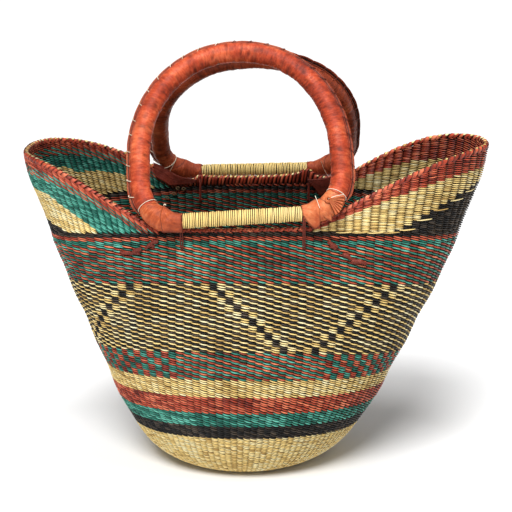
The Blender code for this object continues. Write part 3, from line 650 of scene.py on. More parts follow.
# ---------------------------------------------------------------- meshes from arrays
def quad_mesh(name, points, quads, strand, material, groove=None):
    """A mesh of four-sided faces; strand holds length, share around and a random number.

    The painted light factor paints shade: 0 is the darkest painted shade, deep in the grooves
    between strands or folds, and 1 the full colour on what stands proud.
    """
    data = bpy.data.meshes.new(name)
    data.vertices.add(len(points))
    data.vertices.foreach_set("co", points.astype(np.float32).ravel())
    data.loops.add(quads.size)
    data.loops.foreach_set("vertex_index", quads.astype(np.int32).ravel())
    data.polygons.add(len(quads))
    data.polygons.foreach_set("loop_start", np.arange(0, quads.size, 4, dtype=np.int32))
    data.update(calc_edges=True)
    data.shade_smooth()
    attribute = data.attributes.new("strand", "FLOAT_VECTOR", "POINT")
    attribute.data.foreach_set("vector", strand.astype(np.float32).ravel())
    if groove is None:
        groove = np.ones(len(points))
    attribute = data.attributes.new("groove", "FLOAT", "POINT")
    attribute.data.foreach_set("value", groove.astype(np.float32).ravel())
    data.materials.append(materials[material])
    item = bpy.data.objects.new(name, data)
    bpy.context.scene.collection.objects.link(item)
    return item


def grid_quads(rows, columns, wrap=False):
    """Faces of a grid of points, row by row; wrap joins the ends of each row."""
    i = np.arange(rows - 1)[:, None] * columns
    j = np.arange(columns if wrap else columns - 1)[None, :]
    k = (j + 1) % columns
    return np.stack([i + j, i + columns + j, i + columns + k, i + k], -1).reshape(-1, 4)


def tube_quads(rings, sides, closed=False):
    """Faces of one tube of an even number of sides, with its two end caps."""
    quads = grid_quads(rings + 1 if closed else rings, sides, True)[:, [0, 3, 2, 1]]
    if closed:
        return quads % (rings * sides)
    end = (rings - 1) * sides
    caps = []
    for j in range(1, sides - 2, 2):
        caps.append((0, j + 2, j + 1, j))
        caps.append((end, end + j, end + j + 1, end + j + 2))
    return np.concatenate([quads, caps])


def tubes(name, centres, side, out, half_side, half_out, tints, material, sides=6,
          closed=False, painted_lit_share=None):
    """Many alike tubes as one piece: centres, side and out have a row of points per tube.

    They may also be one line of points. Half sizes, tints and the painted light share are arrays
    or one number.
    That share, if given, says how far each ring is painted as lit; the tubes' sides then take
    painted shade as in grooves.
    """
    if centres.ndim == 2:
        centres, side, out = centres[None], side[None], out[None]
    count, rings = centres.shape[:2]
    half_side, half_out = (np.broadcast_to(half, (count, rings)) for half in (half_side, half_out))
    turns = 2 * math.pi * np.arange(sides) / sides
    across = np.cos(turns)[None, None, :, None] * side[:, :, None, :] * half_side[..., None, None]
    depth = np.sin(turns)[None, None, :, None] * out[:, :, None, :] * half_out[..., None, None]
    points = centres[:, :, None, :] + across + depth
    step = np.linalg.norm(np.diff(centres, axis=1), axis=-1)
    length = np.concatenate([np.zeros((count, 1)), np.cumsum(step, axis=1)], axis=1)
    strand = np.zeros(points.shape)
    strand[..., 0] = length[:, :, None]
    strand[..., 1] = (turns / (2 * math.pi))[None, None, :]
    strand[..., 2] = np.broadcast_to(tints, (count,))[:, None, None]
    groove = None
    if painted_lit_share is not None:
        # Painted light round a tube: full on its outer face, painted shade on its sides and inner
        # face, and the edge towards the side vector painted lighter than the other, as if lit from
        # there (upwards on the outer stitches)
        painted_light_round = np.clip(-0.15 + 1.2 * np.sin(turns) + 0.25 * np.cos(turns), 0, 1)
        painted_lit_share = np.broadcast_to(painted_lit_share, (count, rings))
        groove = (painted_lit_share[:, :, None] * painted_light_round[None, None, :]).reshape(-1)
    offsets = (np.arange(count) * rings * sides)[:, None, None]
    quads = (tube_quads(rings, sides, closed)[None] + offsets).reshape(-1, 4)
    return quad_mesh(name, points.reshape(-1, 3), quads, strand.reshape(-1, 3), material, groove)


def dress(item, body, slot, *nodes):
    """The body that a piece rides on, and the CAD nodes that it stands for, which it hides; slot
    is not used.
    """
    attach(item, body)
    if nodes:
        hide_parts(*nodes)


class Weave:
    """Collects stitches by node and colour, and turns each group into pieces."""

    def __init__(self):
        self.groups = {}

    def add(self, group, *arrays):
        """Keeps some stitches' arrays under node, colour and side of the wall."""
        self.groups.setdefault(group, []).append(arrays)

    def build(self):
        """Makes the pieces, none with more than about PIECE_FACES faces."""
        for (cad_node, colour, where), parts in self.groups.items():
            arrays = [np.concatenate(part) for part in zip(*parts)]
            count, rings = arrays[0].shape[:2]
            sides = SIDES[where]
            faces = (rings - 1) * sides + sides - 2
            pieces = math.ceil(count * faces / PIECE_FACES)
            for number, chosen in enumerate(np.array_split(np.arange(count), pieces)):
                *shape, painted_lit_share = (array[chosen] for array in arrays)
                item = tubes("%s_%s_%s_%d" % (cad_node, colour, where, number + 1), *shape,
                             random.random(len(chosen)), colour, sides, painted_lit_share=painted_lit_share)
                dress(item, "root", colour + "_straw", cad_node)


weave = Weave()


def stitch_row(line, spacing, columns, colours, nodes, follow=1.0, slant=1.0, width=1.0,
               lap=LAP):
    """Weaves one row: an outer and an inner stitch over each stake of some columns.

    line and spacing give the row's height and its room by angle; colours holds the outer and
    the inner colour of each column; nodes names the CAD nodes that each stitch stands for.
    follow is how far each stitch slopes with its row rather than lying level on its stake,
    width is how wide a column is, and lap is how far a stitch reaches into the next column.
    """
    columns = np.asarray(columns, float)
    spread = (len(columns), 1)
    for inside, (where, way) in enumerate((("out", 1.0), ("in", -1.0))):
        steps = STEPS[where]
        share = np.linspace(0, 1, steps + 1)
        reach = (share[None, :] - 0.5) * (1 + 2 * lap)
        place = columns[:, None] + reach * width
        angle, z = settle(line, place)
        middle_z = z[:, steps // 2][:, None]
        room = spacing(angle)
        wobble = random.normal(0, WOBBLE, spread) * room
        tip = 1.0 + random.normal(0, TIP_SPREAD, spread)
        z = middle_z + follow * (z - middle_z) + wobble - way * room * slant * reach * tip
        middle, normal, stretch = wall(angle_at(place, z), z)
        bulge = np.sin(math.pi * share)[None, :] ** 0.65
        lift = 1.0 + random.normal(0, SIZE_SPREAD, spread)
        depth = (STAKE_HALF_DEPTH + STRAND) * bulge * lift - LEAN * np.sign(reach) * way
        centres = middle + normal * (way * depth)[..., None]
        side, out = frames(centres, normal)
        fat = 1.0 + random.normal(0, SIZE_SPREAD, spread)
        half_side = room * stretch * (0.18 + 0.17 * np.sin(math.pi * share)[None, :] ** 0.6) * fat
        half_out = STRAND * (0.70 + 0.30 * bulge) * np.ones(half_side.shape)
        # Painted shade: each stitch is darker towards its ends, where it dives beside the stake,
        # and the inner ones darker overall
        painted_lit_share = (0.20 + 0.80 * bulge ** 1.2) * np.ones(half_side.shape)
        if inside:
            painted_lit_share = painted_lit_share * INSIDE_PAINTED_SHADE
        arrays = (centres, side * way, out * way, half_side, half_out, painted_lit_share)
        picked = np.array(colours[inside])
        for colour in sorted(set(colours[inside])):
            for cad_node in sorted(set(nodes)):
                some = (picked == colour) & (np.array(nodes) == cad_node)
                if some.any():
                    weave.add((cad_node, colour, where), *(array[some] for array in arrays))


def column_of(share):
    """Column at a share of the way round, measured along the wall from the right ear."""
    places = np.arange(COLUMNS + 1)
    shares = column_share(places / COLUMNS, STRIPE_TOP)
    return float(np.interp(share % 1.0, shares, places))


def zigzag_arms():
    """Column of the top block of each arm of the zigzag, and the way it goes down."""
    left_top, valley_left, valley_right = (round(column_of((degrees - 180) / 360))
                                           for degrees in ZIGZAG_DEGREES)
    arms = [(left_top, -1), (valley_left, 1), (valley_right, -1)]
    second, whole = REAR_ARM_STEPS
    place = valley_right + REAR_ARM_GAP
    while place < left_top + COLUMNS - whole:
        arms.append((place % COLUMNS, 1))
        arms.append(((place + second) % COLUMNS, -1))
        place += whole
    return arms


def stripe_colours(row, rows):
    """Black and natural stitches by turns, with the zigzag of blocks held over three rows."""
    colours = by_turns(row, "black", "natural")
    group = (rows - 1 - row) // BLOCK_ROWS
    for top, way in zigzag_arms():
        column = top + way * group
        colours[(column - 1) % COLUMNS] = "natural"
        colours[column % COLUMNS] = "black"
        colours[(column + 1) % COLUMNS] = "natural"
    return colours


def check_colours(row):
    """Teal and red by turns, in blocks of three rows at the four corners of the wall."""
    colours = []
    for c in range(COLUMNS):
        share = (c / COLUMNS + 0.25) % 0.5
        blocks = any(low < share < high for low, high in BLOCK_SHARES)
        turn = row // BLOCK_ROWS + c if blocks else row + c
        colours.append("red" if turn % 2 else "teal")
    return colours


def by_turns(row, first, second):
    """Two colours by turns, the other way about in the next row."""
    return [first if (row + c) % 2 else second for c in range(COLUMNS)]


def band_colours(name, plain, row, rows):
    """Outer and inner colours of a row; an inner stitch has the other colour of its pair."""
    if plain:
        return [plain] * COLUMNS, [plain] * COLUMNS
    if name == "stripe_band":
        outside, pair = stripe_colours(row, rows), ("black", "natural")
    else:
        pair = ("red", "teal")
        outside = check_colours(row) if name == "check_band" else by_turns(row, *pair)
    return outside, [pair[1] if colour == pair[0] else pair[0] for colour in outside]


def weave_wall():
    """The bands, row by row from the base."""
    for number, (name, rows, plain) in enumerate(BANDS):
        def spacing(angle, k=number, n=rows):
            return (row_height(k + 1, angle) - row_height(k, angle)) / n

        for row in range(rows):
            def line(angle, k=number, p=(row + 0.5) / rows):
                low = row_height(k, angle)
                return low + (row_height(k + 1, angle) - low) * p

            stitch_row(line, spacing, np.arange(COLUMNS), band_colours(name, plain, row, rows),
                       [name] * COLUMNS, slant=SLANTS.get(name, 1.0))


def ear_row_line(number, side):
    """Rows of an ear, counted down from the braid, more level towards the wall on the right."""
    tip = 0.0 if side > 0 else math.pi
    top = float(braid_foot(np.array(tip)))
    foot = float(row_height(-1, np.array(tip)))
    rows = (top - foot) / PITCH
    depth = (number + 0.5) * PITCH
    follow = 1.0 - FOOT_LEVELLING[side] * (number + 0.5) / rows

    def line(angle):
        rim_drop = top - braid_foot(angle)
        wall_drop = foot - row_height(-1, angle)
        return top - depth - follow * rim_drop - (1 - follow) * wall_drop
    return line


def ear_colour(number, place, angle, z, side):
    """Colour and CAD node of one stitch in an ear."""
    below_rim = float(red_foot(angle)) - z
    if side < 0:
        if number < RED_ROWS:
            return "red", "red_rim_rows"
        if number < MIXED_ROWS or below_rim < -PITCH:
            return ("red" if (number + place) % 2 else "teal"), "red_rim_rows"
        above_wall = z - float(row_height(-1, angle))
        tip = max(0.0, (-float(across_share(angle)) - BLACK_TIP_START) / (1 - BLACK_TIP_START))
        if above_wall < BLACK_TIP_HEIGHT * tip:
            return "black", "left_natural_wedge"
        if z < float(wedge_top(angle)):
            return "natural", "left_natural_wedge"
        if math.sin(angle) > 0 and z < float(rear_wedge_top(angle)):
            return "natural", "left_teal_wedge"
        return "teal", "left_teal_wedge"
    if below_rim < RIGHT_RED_ROWS[math.sin(angle) >= 0] * PITCH:
        return "red", "red_rim_rows"
    if z < float(wedge_top(angle)):
        return "black", "right_black_wedge"
    return "natural", "right_natural_wedge"


def rear_wedge_top(angle):
    """Top of the natural wedge on the rear of the left ear, which runs on round to the dip."""
    across = across_share(angle)
    top, start, run = REAR_WEDGE
    rise = top * np.clip((-across - start) / run, 0, 1) ** REAR_WEDGE_POWER
    room = np.maximum(red_foot(angle) - row_height(-1, angle), 0) * REAR_WEDGE_ROOM
    return row_height(-1, angle) + np.minimum(rise, room)


def weave_ears():
    """Short rows of both ears; the top rows of the left one are denser and slope more."""
    for side in (-1, 1):
        wide = EAR_COLUMNS[side]
        half = round(COLUMNS / 4 / wide)
        places = np.arange(-half, half + 1)
        columns = (0.0 if side > 0 else COLUMNS / 2) + places * wide
        for number in range(EAR_ROWS):
            line = ear_row_line(number, side)
            angle, z = settle(line, columns)
            clear = z - row_height(-1, angle) > LEAST_ROW * PITCH
            if not clear.any():
                break
            picked = [ear_colour(number, *each, side)
                      for each in zip(places[clear], angle[clear], z[clear])]
            colours, nodes = zip(*picked)
            top = number < MIXED_ROWS
            dense = top and side < 0
            stitch_row(line, lambda angle: np.full(np.shape(angle), PITCH), columns[clear],
                       (colours, colours), nodes, FOLLOW[top], EAR_SLANTS[dense], wide,
                       EAR_LAPS[dense])


def weave_tongues():
    """Short natural ends that lie over the black wedge of the right ear, step by step."""
    share = np.linspace(-0.3, 1.5, 14)
    bulge = np.sin(np.linspace(0.3, 2.9, len(share)))
    rise = 0.0021 + 0.0004 * bulge + 0.0016 * np.clip(share - 1.1, 0, 1)
    size = TONGUE_HALF * (0.45 + 0.55 * bulge)
    for label, way in (("front", -1.0), ("rear", 1.0)):
        for step in range(TONGUES):
            place = np.array([way * (FIRST_TONGUE + step * TONGUE_STEP) + way * share])
            foot = settle(wedge_top, place)[1].min()
            z = foot + 0.0012 * np.clip(share - 1.0, 0, 1)[None]
            middle, normal = wall(angle_at(place, z), z)[:2]
            centres = middle + normal * rise[None, :, None]
            item = tubes("right_tongue_%d_%s" % (step + 1, label), centres,
                         *frames(centres, normal), size, size, random.random(1), "natural", 8,
                         painted_lit_share=1.0)
            dress(item, "root", "natural_straw", "right_natural_wedge")


def weave_stakes():
    """Flat bundles of straw that stand in the wall, one in each column, edge to edge."""
    columns = np.arange(COLUMNS, dtype=float)
    top = settle(braid_foot, columns)[1]
    share = np.linspace(0, 1, 56) ** 1.25
    z = STAKE_FOOT + (top[:, None] - STAKE_FOOT) * share[None, :]
    places = np.repeat(columns[:, None], len(share), 1)
    left, middle, right = (wall(angle_at(places + shift, z), z) for shift in (-0.5, 0.0, 0.5))
    half = np.linalg.norm(right[0] - left[0], axis=-1) * 0.52
    # Dark stake straw: painted shade where the stakes show between stitches
    item = tubes("wall_stakes", middle[0], *frames(middle[0], middle[1]), half,
                 STAKE_HALF_DEPTH, random.random(COLUMNS), "stake", 8, painted_lit_share=0.8)
    dress(item, "root", "natural_straw", "base_natural_band")


def weave_base():
    """Rings of twining under and inside the flat bottom, with fewer stakes near its middle."""
    share = np.linspace(0, 1, 6)
    for where, way in (("under", -1.0), ("top", 1.0)):
        radius, smallest = BASE_RINGS
        parts = []
        while radius > smallest:
            stakes = next(count for limit, count in BASE_STAKES if radius > limit)
            turn = 2 * math.pi * (np.arange(stakes)[:, None] + share[None, :] - 0.5) / stakes
            r = radius + 0.4 * PITCH * (0.5 - share[None, :]) * way + 0 * turn
            bulge = np.sin(math.pi * share)[None, :] ** 0.75 + 0 * turn
            centres = np.stack([r * np.cos(turn) + BASE_OFFSET, r * np.sin(turn),
                                BASE_MIDDLE + way * BASE_BULGE * bulge], -1)
            # Painted shade: each stitch is darker towards its ends, where it dives by its stake
            parts.append((centres, *frames(centres, np.array([0, 0, way])),
                          PITCH * (0.30 + 0.17 * bulge), 0.3 + 0.7 * bulge))
            radius -= PITCH
        *shape, painted_lit_share = (np.concatenate(part) for part in zip(*parts))
        item = tubes("base_weave_" + where, *shape, BASE_THICK, random.random(len(painted_lit_share)),
                     "natural", painted_lit_share=painted_lit_share)
        dress(item, "root", "natural_straw", "base_disc")


def rear_edge_rise():
    """How far the rim's edge can rise at each angle till it lies up against the rear handle."""
    handle = Handle(*HANDLES[1])
    even = np.linspace(0.0, 0.090, 90)
    corner = handle.points_at(even)
    thick = core_radius(np.clip(handle.share_at(even), 0, 1)) + CORNER_COVER
    bar = np.stack([np.linspace(-BAR_HALF_LENGTH, BAR_HALF_LENGTH, 60), np.zeros(60)], 1)
    flat = np.concatenate([corner, corner * [-1, 1], bar])
    thick = np.concatenate([thick, thick, np.full(60, WINDING_OUTSIDE)])
    line = handle.place(np.concatenate([flat, np.zeros((len(flat), 1))], 1))
    angles = np.linspace(0, math.pi, 361)
    heights = np.arange(*EDGE_HEIGHTS)
    middle = wall(*np.meshgrid(angles, heights, indexing="ij"))[0]
    away = np.linalg.norm(middle[:, :, None] - line[None, None], axis=-1) - thick
    met = away.min(axis=-1) < EDGE_ROOM
    limit = np.where(met.any(axis=1), heights[met.argmax(axis=1)], heights[-1])
    x = across_share(angles) * EAR_HALF_WIDTH
    left, right = (np.clip((end - np.abs(x)) / run, 0, 1) for end, run in (LEFT_FADE, RIGHT_FADE))
    fade = np.where(x < 0, left, right)
    free = np.clip(limit - rim_height(angles), 0, REAR_EDGE_RISE * fade)
    ends = np.pad(free, 3, mode="edge")
    smooth = np.array([ends[k:k + 7].mean() for k in range(len(free))])
    return angles, np.minimum(free, smooth)


def edge_height(angle):
    """Top of the rim's edge; at the rear it lies up against the handle."""
    return rim_height(angle) + np.interp(np.mod(angle, 2 * math.pi), *edge_rise, left=0, right=0)


def edge_columns(dense):
    """Columns of the edge's stitches, as close together as the ears' columns on each side."""
    fine = np.linspace(0, COLUMNS, 2001)
    middle = (EAR_COLUMNS[1] + EAR_COLUMNS[-1]) / 2
    swing = (EAR_COLUMNS[1] - EAR_COLUMNS[-1]) / 2
    step = (middle + swing * np.cos(2 * math.pi * fine / COLUMNS)) / dense
    total = np.concatenate([[0], np.cumsum((fine[1] - fine[0]) / step[1:])])
    count = int(total[-1])
    return np.interp(np.arange(count) * total[-1] / count, total, fine), step[0]


def weave_edge():
    """The rim's edge: red stitches over the top of the wall, with natural ends between them."""
    edge_rise[:] = rear_edge_rise()
    share = np.linspace(0, 1, 11)
    arch = np.sin(math.pi * share)[None, :]
    over = (0, 0.28, 0.72, 1)
    stitches = (
        ("red", 1.5, 0.0, 1.5, 0.38, 0.00070, 0.0,
         np.interp(share, over, (0.0, 0.0, math.pi, math.pi)),
         np.interp(share, over, (1.0, 0.0, 0.0, 1.0))),
        ("natural", 1.0, 0.5, 0.30, 0.17, 0.00060, 0.0004,
         np.interp(share, (0, 1), (0.42 * math.pi, 0.88 * math.pi)), 0 * share))
    for colour, dense, start, run_on, half, thick, lift, turn, drop in stitches:
        columns, width = edge_columns(dense)
        column = columns[:, None]
        place = column + (start + (share[None, :] - 0.5) * run_on) * width
        place = place + random.normal(0, 0.07, column.shape) * width
        top = settle(lambda a: edge_height(a) - EDGE_DEPTH, place)[1]
        foot = settle(lambda a: braid_foot(a) - EDGE_FOOT, place)[1]
        z = top + (foot - top) * drop[None, :]
        middle, normal = wall(angle_at(place, z), z)[:2]
        up = np.broadcast_to(np.array([0.0, 0.0, 1.0]), middle.shape)
        centres = (middle + normal * ((EDGE_REACH + lift) * np.cos(turn))[None, :, None]
                   + up * ((EDGE_RISE + lift) * np.sin(turn))[None, :, None])
        out = unit(normal * np.cos(turn)[None, :, None] + up * np.sin(turn)[None, :, None])
        side, out = frames(centres, out)
        peak = top[:, 5]
        ends = [outer(angle_at(at, peak), peak) for at in (columns + width, columns)]
        room = np.linalg.norm(ends[0] - ends[1], axis=-1)
        fat = 1.0 + random.normal(0, 0.10, column.shape)
        # Painted shade: each stitch is darker towards its ends, where it goes under
        item = tubes("rim_edge_" + colour, centres, -side, out,
                     room[:, None] * half * (0.70 + 0.30 * arch) * fat, thick,
                     random.random(len(centres)), colour, 8, painted_lit_share=0.35 + 0.65 * arch)
        dress(item, "root", colour + "_straw", "rim_braid")
    steps = COLUMNS * 4
    angle, z = settle(lambda a: (edge_height(a) + braid_foot(a)) / 2 - EDGE_CORE_DEPTH,
                      np.arange(steps) * COLUMNS / steps)
    middle, normal = wall(angle, z)[:2]
    up = frames(middle, normal, True)[0]
    # The core under the stitches is painted in shade
    item = tubes("rim_edge_core", middle, normal, up, EDGE_CORE_HALF,
                 (edge_height(angle) - braid_foot(angle)) / 2, random.random(1), "red", 8, True,
                 0.3)
    dress(item, "root", "red_straw", "rim_braid")


# ---------------------------------------------------------------- handles
class Handle:
    """Place and size of one handle, with its own flat frame: X along the bar, Y up the arch."""

    def __init__(self, name, side, offset, height, half_width, arch_height, tilt):
        self.name = name
        self.side = side
        self.half_width = half_width
        self.arch_height = arch_height
        self.tilt = math.radians(tilt)
        # The rear handle takes the darker painted-shade copy of the leather
        self.leather = "leather" if side < 0 else "rear_leather"
        self.wrap_leather = "wrap_leather" if side < 0 else "rear_leather"
        lean = math.asin((STAND - SLEEVE_RADIUS - 0.0005) / arch_height)
        along = Vector((math.cos(self.tilt), 0.0, math.sin(self.tilt)))
        level_up = Vector((-math.sin(self.tilt), 0.0, math.cos(self.tilt)))
        arch = level_up * math.cos(lean) + Vector((0.0, -side, 0.0)) * math.sin(lean)
        self.hinge = np.array((offset, side * STAND, height))
        self.matrix = np.array([along, arch, along.cross(arch)]).T
        self.line, self.length, self.corner = self.ring_line()

    def place(self, points):
        """Points of the flat frame, in the CAD frame."""
        return points @ self.matrix.T + self.hinge

    def turn(self, vectors):
        """Directions of the flat frame, in the CAD frame."""
        return vectors @ self.matrix.T

    def ring_line(self):
        """The ring's centre line with its length, and how far along it each corner share is."""
        corner = self.half_width - BAR_HALF_LENGTH
        rise = self.arch_height - ARCH_FOOT
        turns = np.linspace(0, math.pi / 2, CORNER_RINGS)
        first = np.stack([BAR_HALF_LENGTH + corner * np.sin(turns),
                          CORNER_HEIGHT * (1 - np.cos(turns))], 1)
        power = 2.0 / ARCH_POWER
        arch = np.stack([self.half_width * np.abs(np.cos(turns)) ** power,
                         ARCH_FOOT + rise * np.abs(np.sin(turns)) ** power], 1)
        half = np.concatenate([first, arch])
        path = np.concatenate([half, (half * [-1, 1])[::-1][1:]])
        steps = np.linalg.norm(np.diff(path, axis=0), axis=1)
        length = np.concatenate([[0], np.cumsum(steps)])
        return path, length, length[:CORNER_RINGS]

    def corner_length(self, share):
        """How far along the ring a share of the corner is."""
        return float(np.interp(share, np.linspace(0, 1, CORNER_RINGS), self.corner))

    def share_at(self, length):
        """Share of the corner at a length along the ring."""
        return np.interp(length, self.corner, np.linspace(0, 1, CORNER_RINGS))

    def points_at(self, length):
        """Points of the centre line, in the flat frame."""
        return np.stack([np.interp(length, self.length, self.line[:, k]) for k in range(2)], -1)


def core_radius(share):
    """Radius of the straw core at a share of the corner, as in the CAD."""
    ease = share * share * (3 - 2 * share)
    swell = CORNER_SWELL * np.sin(math.pi * np.minimum(1.0, share / WRAP_END))
    return BAR_CORE_RADIUS + (FULL_CORE_RADIUS - BAR_CORE_RADIUS) * ease + swell


def outward(points):
    """Outward directions of a flat line that turns anticlockwise."""
    run = unit(np.gradient(points, axis=0))
    return np.stack([run[:, 1], -run[:, 0]], 1)


def standing(flat, height=0.0):
    """Points or directions of the flat frame with their third number, the height over it."""
    rise = np.broadcast_to(height, flat.shape[:-1])[..., None]
    return np.concatenate([flat, rise], -1)


def smooth_line(points, share):
    """A smooth curve through points, at shares of its way."""
    points = np.array(points, float)
    even = np.linspace(0, 1, len(points))
    return np.stack([monotone(even, points[:, k])(share) for k in range(points.shape[1])], -1)


def ring_turns(sides):
    """Equal turns round a ring."""
    return np.linspace(0, 2 * math.pi, sides + 1)[:-1]


def value_noise(x, seed):
    """Smooth random wave along a line, one knot to each whole number."""
    knots = np.random.default_rng(seed).uniform(-1, 1, 4096)
    i = np.floor(x).astype(int)
    f = x - i
    f = f * f * (3 - 2 * f)
    return knots[i % 4096] * (1 - f) + knots[(i + 1) % 4096] * f


def patch_noise(x, y, seed):
    """Smooth random height over a surface."""
    knots = np.random.default_rng(seed).uniform(-1, 1, (257, 257))
    x, y = np.broadcast_arrays(np.asarray(x, float), np.asarray(y, float))
    i = np.floor(x).astype(int)
    j = np.floor(y).astype(int)
    f = x - i
    g = y - j
    f = f * f * (3 - 2 * f)
    g = g * g * (3 - 2 * g)
    i, k = i % 256, (i + 1) % 256
    j, m = j % 256, (j + 1) % 256
    return ((knots[i, j] * (1 - f) + knots[k, j] * f) * (1 - g)
            + (knots[i, m] * (1 - f) + knots[k, m] * f) * g)


def ring_shell(handle, name, points, even, radius, turns, bore, groove, seed, material,
               mirror=1):
    """A leather tube on the ring, open at both ends, with its smooth bore inside."""
    out = outward(points)
    sides = len(turns)
    rings = len(points)
    skins = []
    for size in (radius, np.full(radius.shape, bore)):
        x = points[:, None, 0] + out[:, None, 0] * size * np.cos(turns)
        y = points[:, None, 1] + out[:, None, 1] * size * np.cos(turns)
        skins.append(np.stack([x * mirror, y, size * np.sin(turns)], -1).reshape(-1, 3))
    vertices = np.concatenate(skins)
    inner = rings * sides
    last = inner - sides
    skin = grid_quads(rings, sides, True)
    j = np.arange(sides)
    k = (j + 1) % sides
    quads = np.concatenate([skin, inner + skin[:, ::-1],
                            np.stack([j, k, inner + k, inner + j], 1),
                            np.stack([k, j, inner + j, inner + k], 1) + last])
    if mirror < 0:
        quads = quads[:, ::-1]
    strand = np.zeros((len(vertices), 3))
    strand[:, 0] = np.tile(np.repeat(even, sides), 2)
    strand[:, 1] = np.tile(turns / (2 * math.pi), 2 * rings)
    strand[:, 2] = seed * 0.13
    # The bore is painted in shade
    shade = np.concatenate([groove.reshape(-1), np.full(inner, 0.3)])
    return quad_mesh(name, handle.place(vertices), quads, strand, material, shade)


def make_sleeve(handle, seed):
    """Leather drawn round the arch: creased all along, most on the inside of the bend."""
    start = handle.corner_length(WRAP_END) - SLEEVE_LAP
    even = np.linspace(start, handle.length[-1] - start, SLEEVE_RINGS)
    points = handle.points_at(even)
    turns = 2 * math.pi * np.arange(SLEEVE_SIDES) / SLEEVE_SIDES
    inside = 0.45 + 0.55 * np.clip(0.5 - 0.5 * np.cos(turns), 0, 1)[None, :]
    s = even[:, None]
    bow = 0.0020 * np.sin(turns + 0.6)[None, :]
    fine = patch_noise((s + bow) * 620, np.sin(turns)[None, :] * 1.6 + 9, seed)
    middle = patch_noise((s - bow) * 300, np.cos(turns)[None, :] * 1.8 + 5, seed + 1)
    knots = 1 - 2 * np.abs(patch_noise((s + bow * 1.4) * 210, np.sin(turns + 1)[None, :] * 2,
                                       seed + 2))
    lumps = patch_noise(s * 60, np.cos(turns - 1)[None, :] * 1.2 + 3, seed + 3)
    height = (0.42 * fine + 0.50 * middle + 0.34 * knots) * inside
    radius = SLEEVE_RADIUS - 0.0001 + 0.00042 * height + 0.00035 * lumps
    # Painted shade in the creases' hollows, most on the inside of the bend
    item = ring_shell(handle, handle.name + "_leather_sleeve", points, even, radius, turns,
                      SLEEVE_BORE, np.clip(0.86 + 0.75 * height, 0.30, 1.0), seed,
                      handle.leather)
    dress(item, handle.name, "red_leather", handle.name + "_sleeve")
    return points, even


def make_seam(handle, points, even, seed):
    """The sleeve's two edges stand up along its back, laced together with pale thread."""
    out = outward(points)
    share = (even - even[0]) / STITCH_STEP
    open_ = np.abs(np.sin(math.pi * share)) ** 0.6
    taper = (np.clip((even - even[0]) / SEAM_TAPER, 0.3, 1)
             * np.clip((even[-1] - even) / SEAM_TAPER, 0.3, 1))
    facing = np.broadcast_to(np.array([0.0, 0.0, 1.0]), (len(out), 3))
    # The fold is a dark strip of painted shade between the two edges, and the back leaf is painted
    # shade with the darker leather
    leaves = (("front", 1.0, 0.0010, 0.00050, handle.leather, 1.0),
              ("fold", 0.15, 0.0012, 0.00060, "dark_leather", 0.15),
              ("back", -1.0, 0.0040, 0.00062, "rear_leather", 1.0))
    for name, way, height, thick, material, painted_lit_share in leaves:
        gap = (0.00035 + 0.00045 * open_) * way
        middle = standing(points) + standing(out) * (SLEEVE_RADIUS - 0.0008 + height * 0.5)
        middle[:, 2] += gap + way * 0.0004 + 0.00025 * value_noise(share * 1.7, seed + 9)
        half = (height * 0.5 + 0.0006) * (0.80 + 0.20 * open_) * taper
        half = half * (1 + 0.06 * value_noise(share * 2.3, seed + 11))
        item = tubes(handle.name + "_seam_" + name, handle.place(middle), handle.turn(facing),
                     handle.turn(standing(out)), thick, half, 0.3, material, 10, painted_lit_share=painted_lit_share)
        dress(item, handle.name, "red_leather", handle.name + "_sleeve")
    starts = even[0] + STITCH_STEP * np.arange(1, int(share[-1]) + 1)
    starts = starts[starts < even[-1] - THREAD_ROOM]
    left = starts > (even[0] + even[-1]) / 2
    step = np.linspace(0, 1, 16)
    lean = np.interp(step, (0, 0.3, 0.5, 0.7, 1), (0.46, 0.10, 0.0, -0.10, -0.46))
    reach = np.interp(step, (0, 0.12, 0.5, 0.88, 1), (0.0088, 0.0101, 0.0132, 0.0101, 0.0088))
    for label, some, material, slot, thin in (
            ("left", left, "twine", "natural_straw", 0.00032),
            ("right", ~left, "dark_leather", "red_leather", 0.00036)):
        jitter = random.normal(0, 0.0006, (some.sum(), 1))
        s = starts[some][:, None] + jitter - (step[None, :] - 0.5) * STITCH_LENGTH
        p, o = (np.stack([np.interp(s, even, of[:, k]) for k in range(2)], -1)
                for of in (points, out))
        lines = standing(p + o * (reach * np.cos(lean))[None, :, None], reach * np.sin(lean))
        centres = handle.place(lines)
        side, facing = frames(centres, handle.turn(np.array([[0.3, 0.2, 1.0]]))[0])
        item = tubes("%s_lacing_%s" % (handle.name, label), centres, -side, facing, thin, thin,
                     random.random(len(lines)), material)
        dress(item, handle.name, slot)


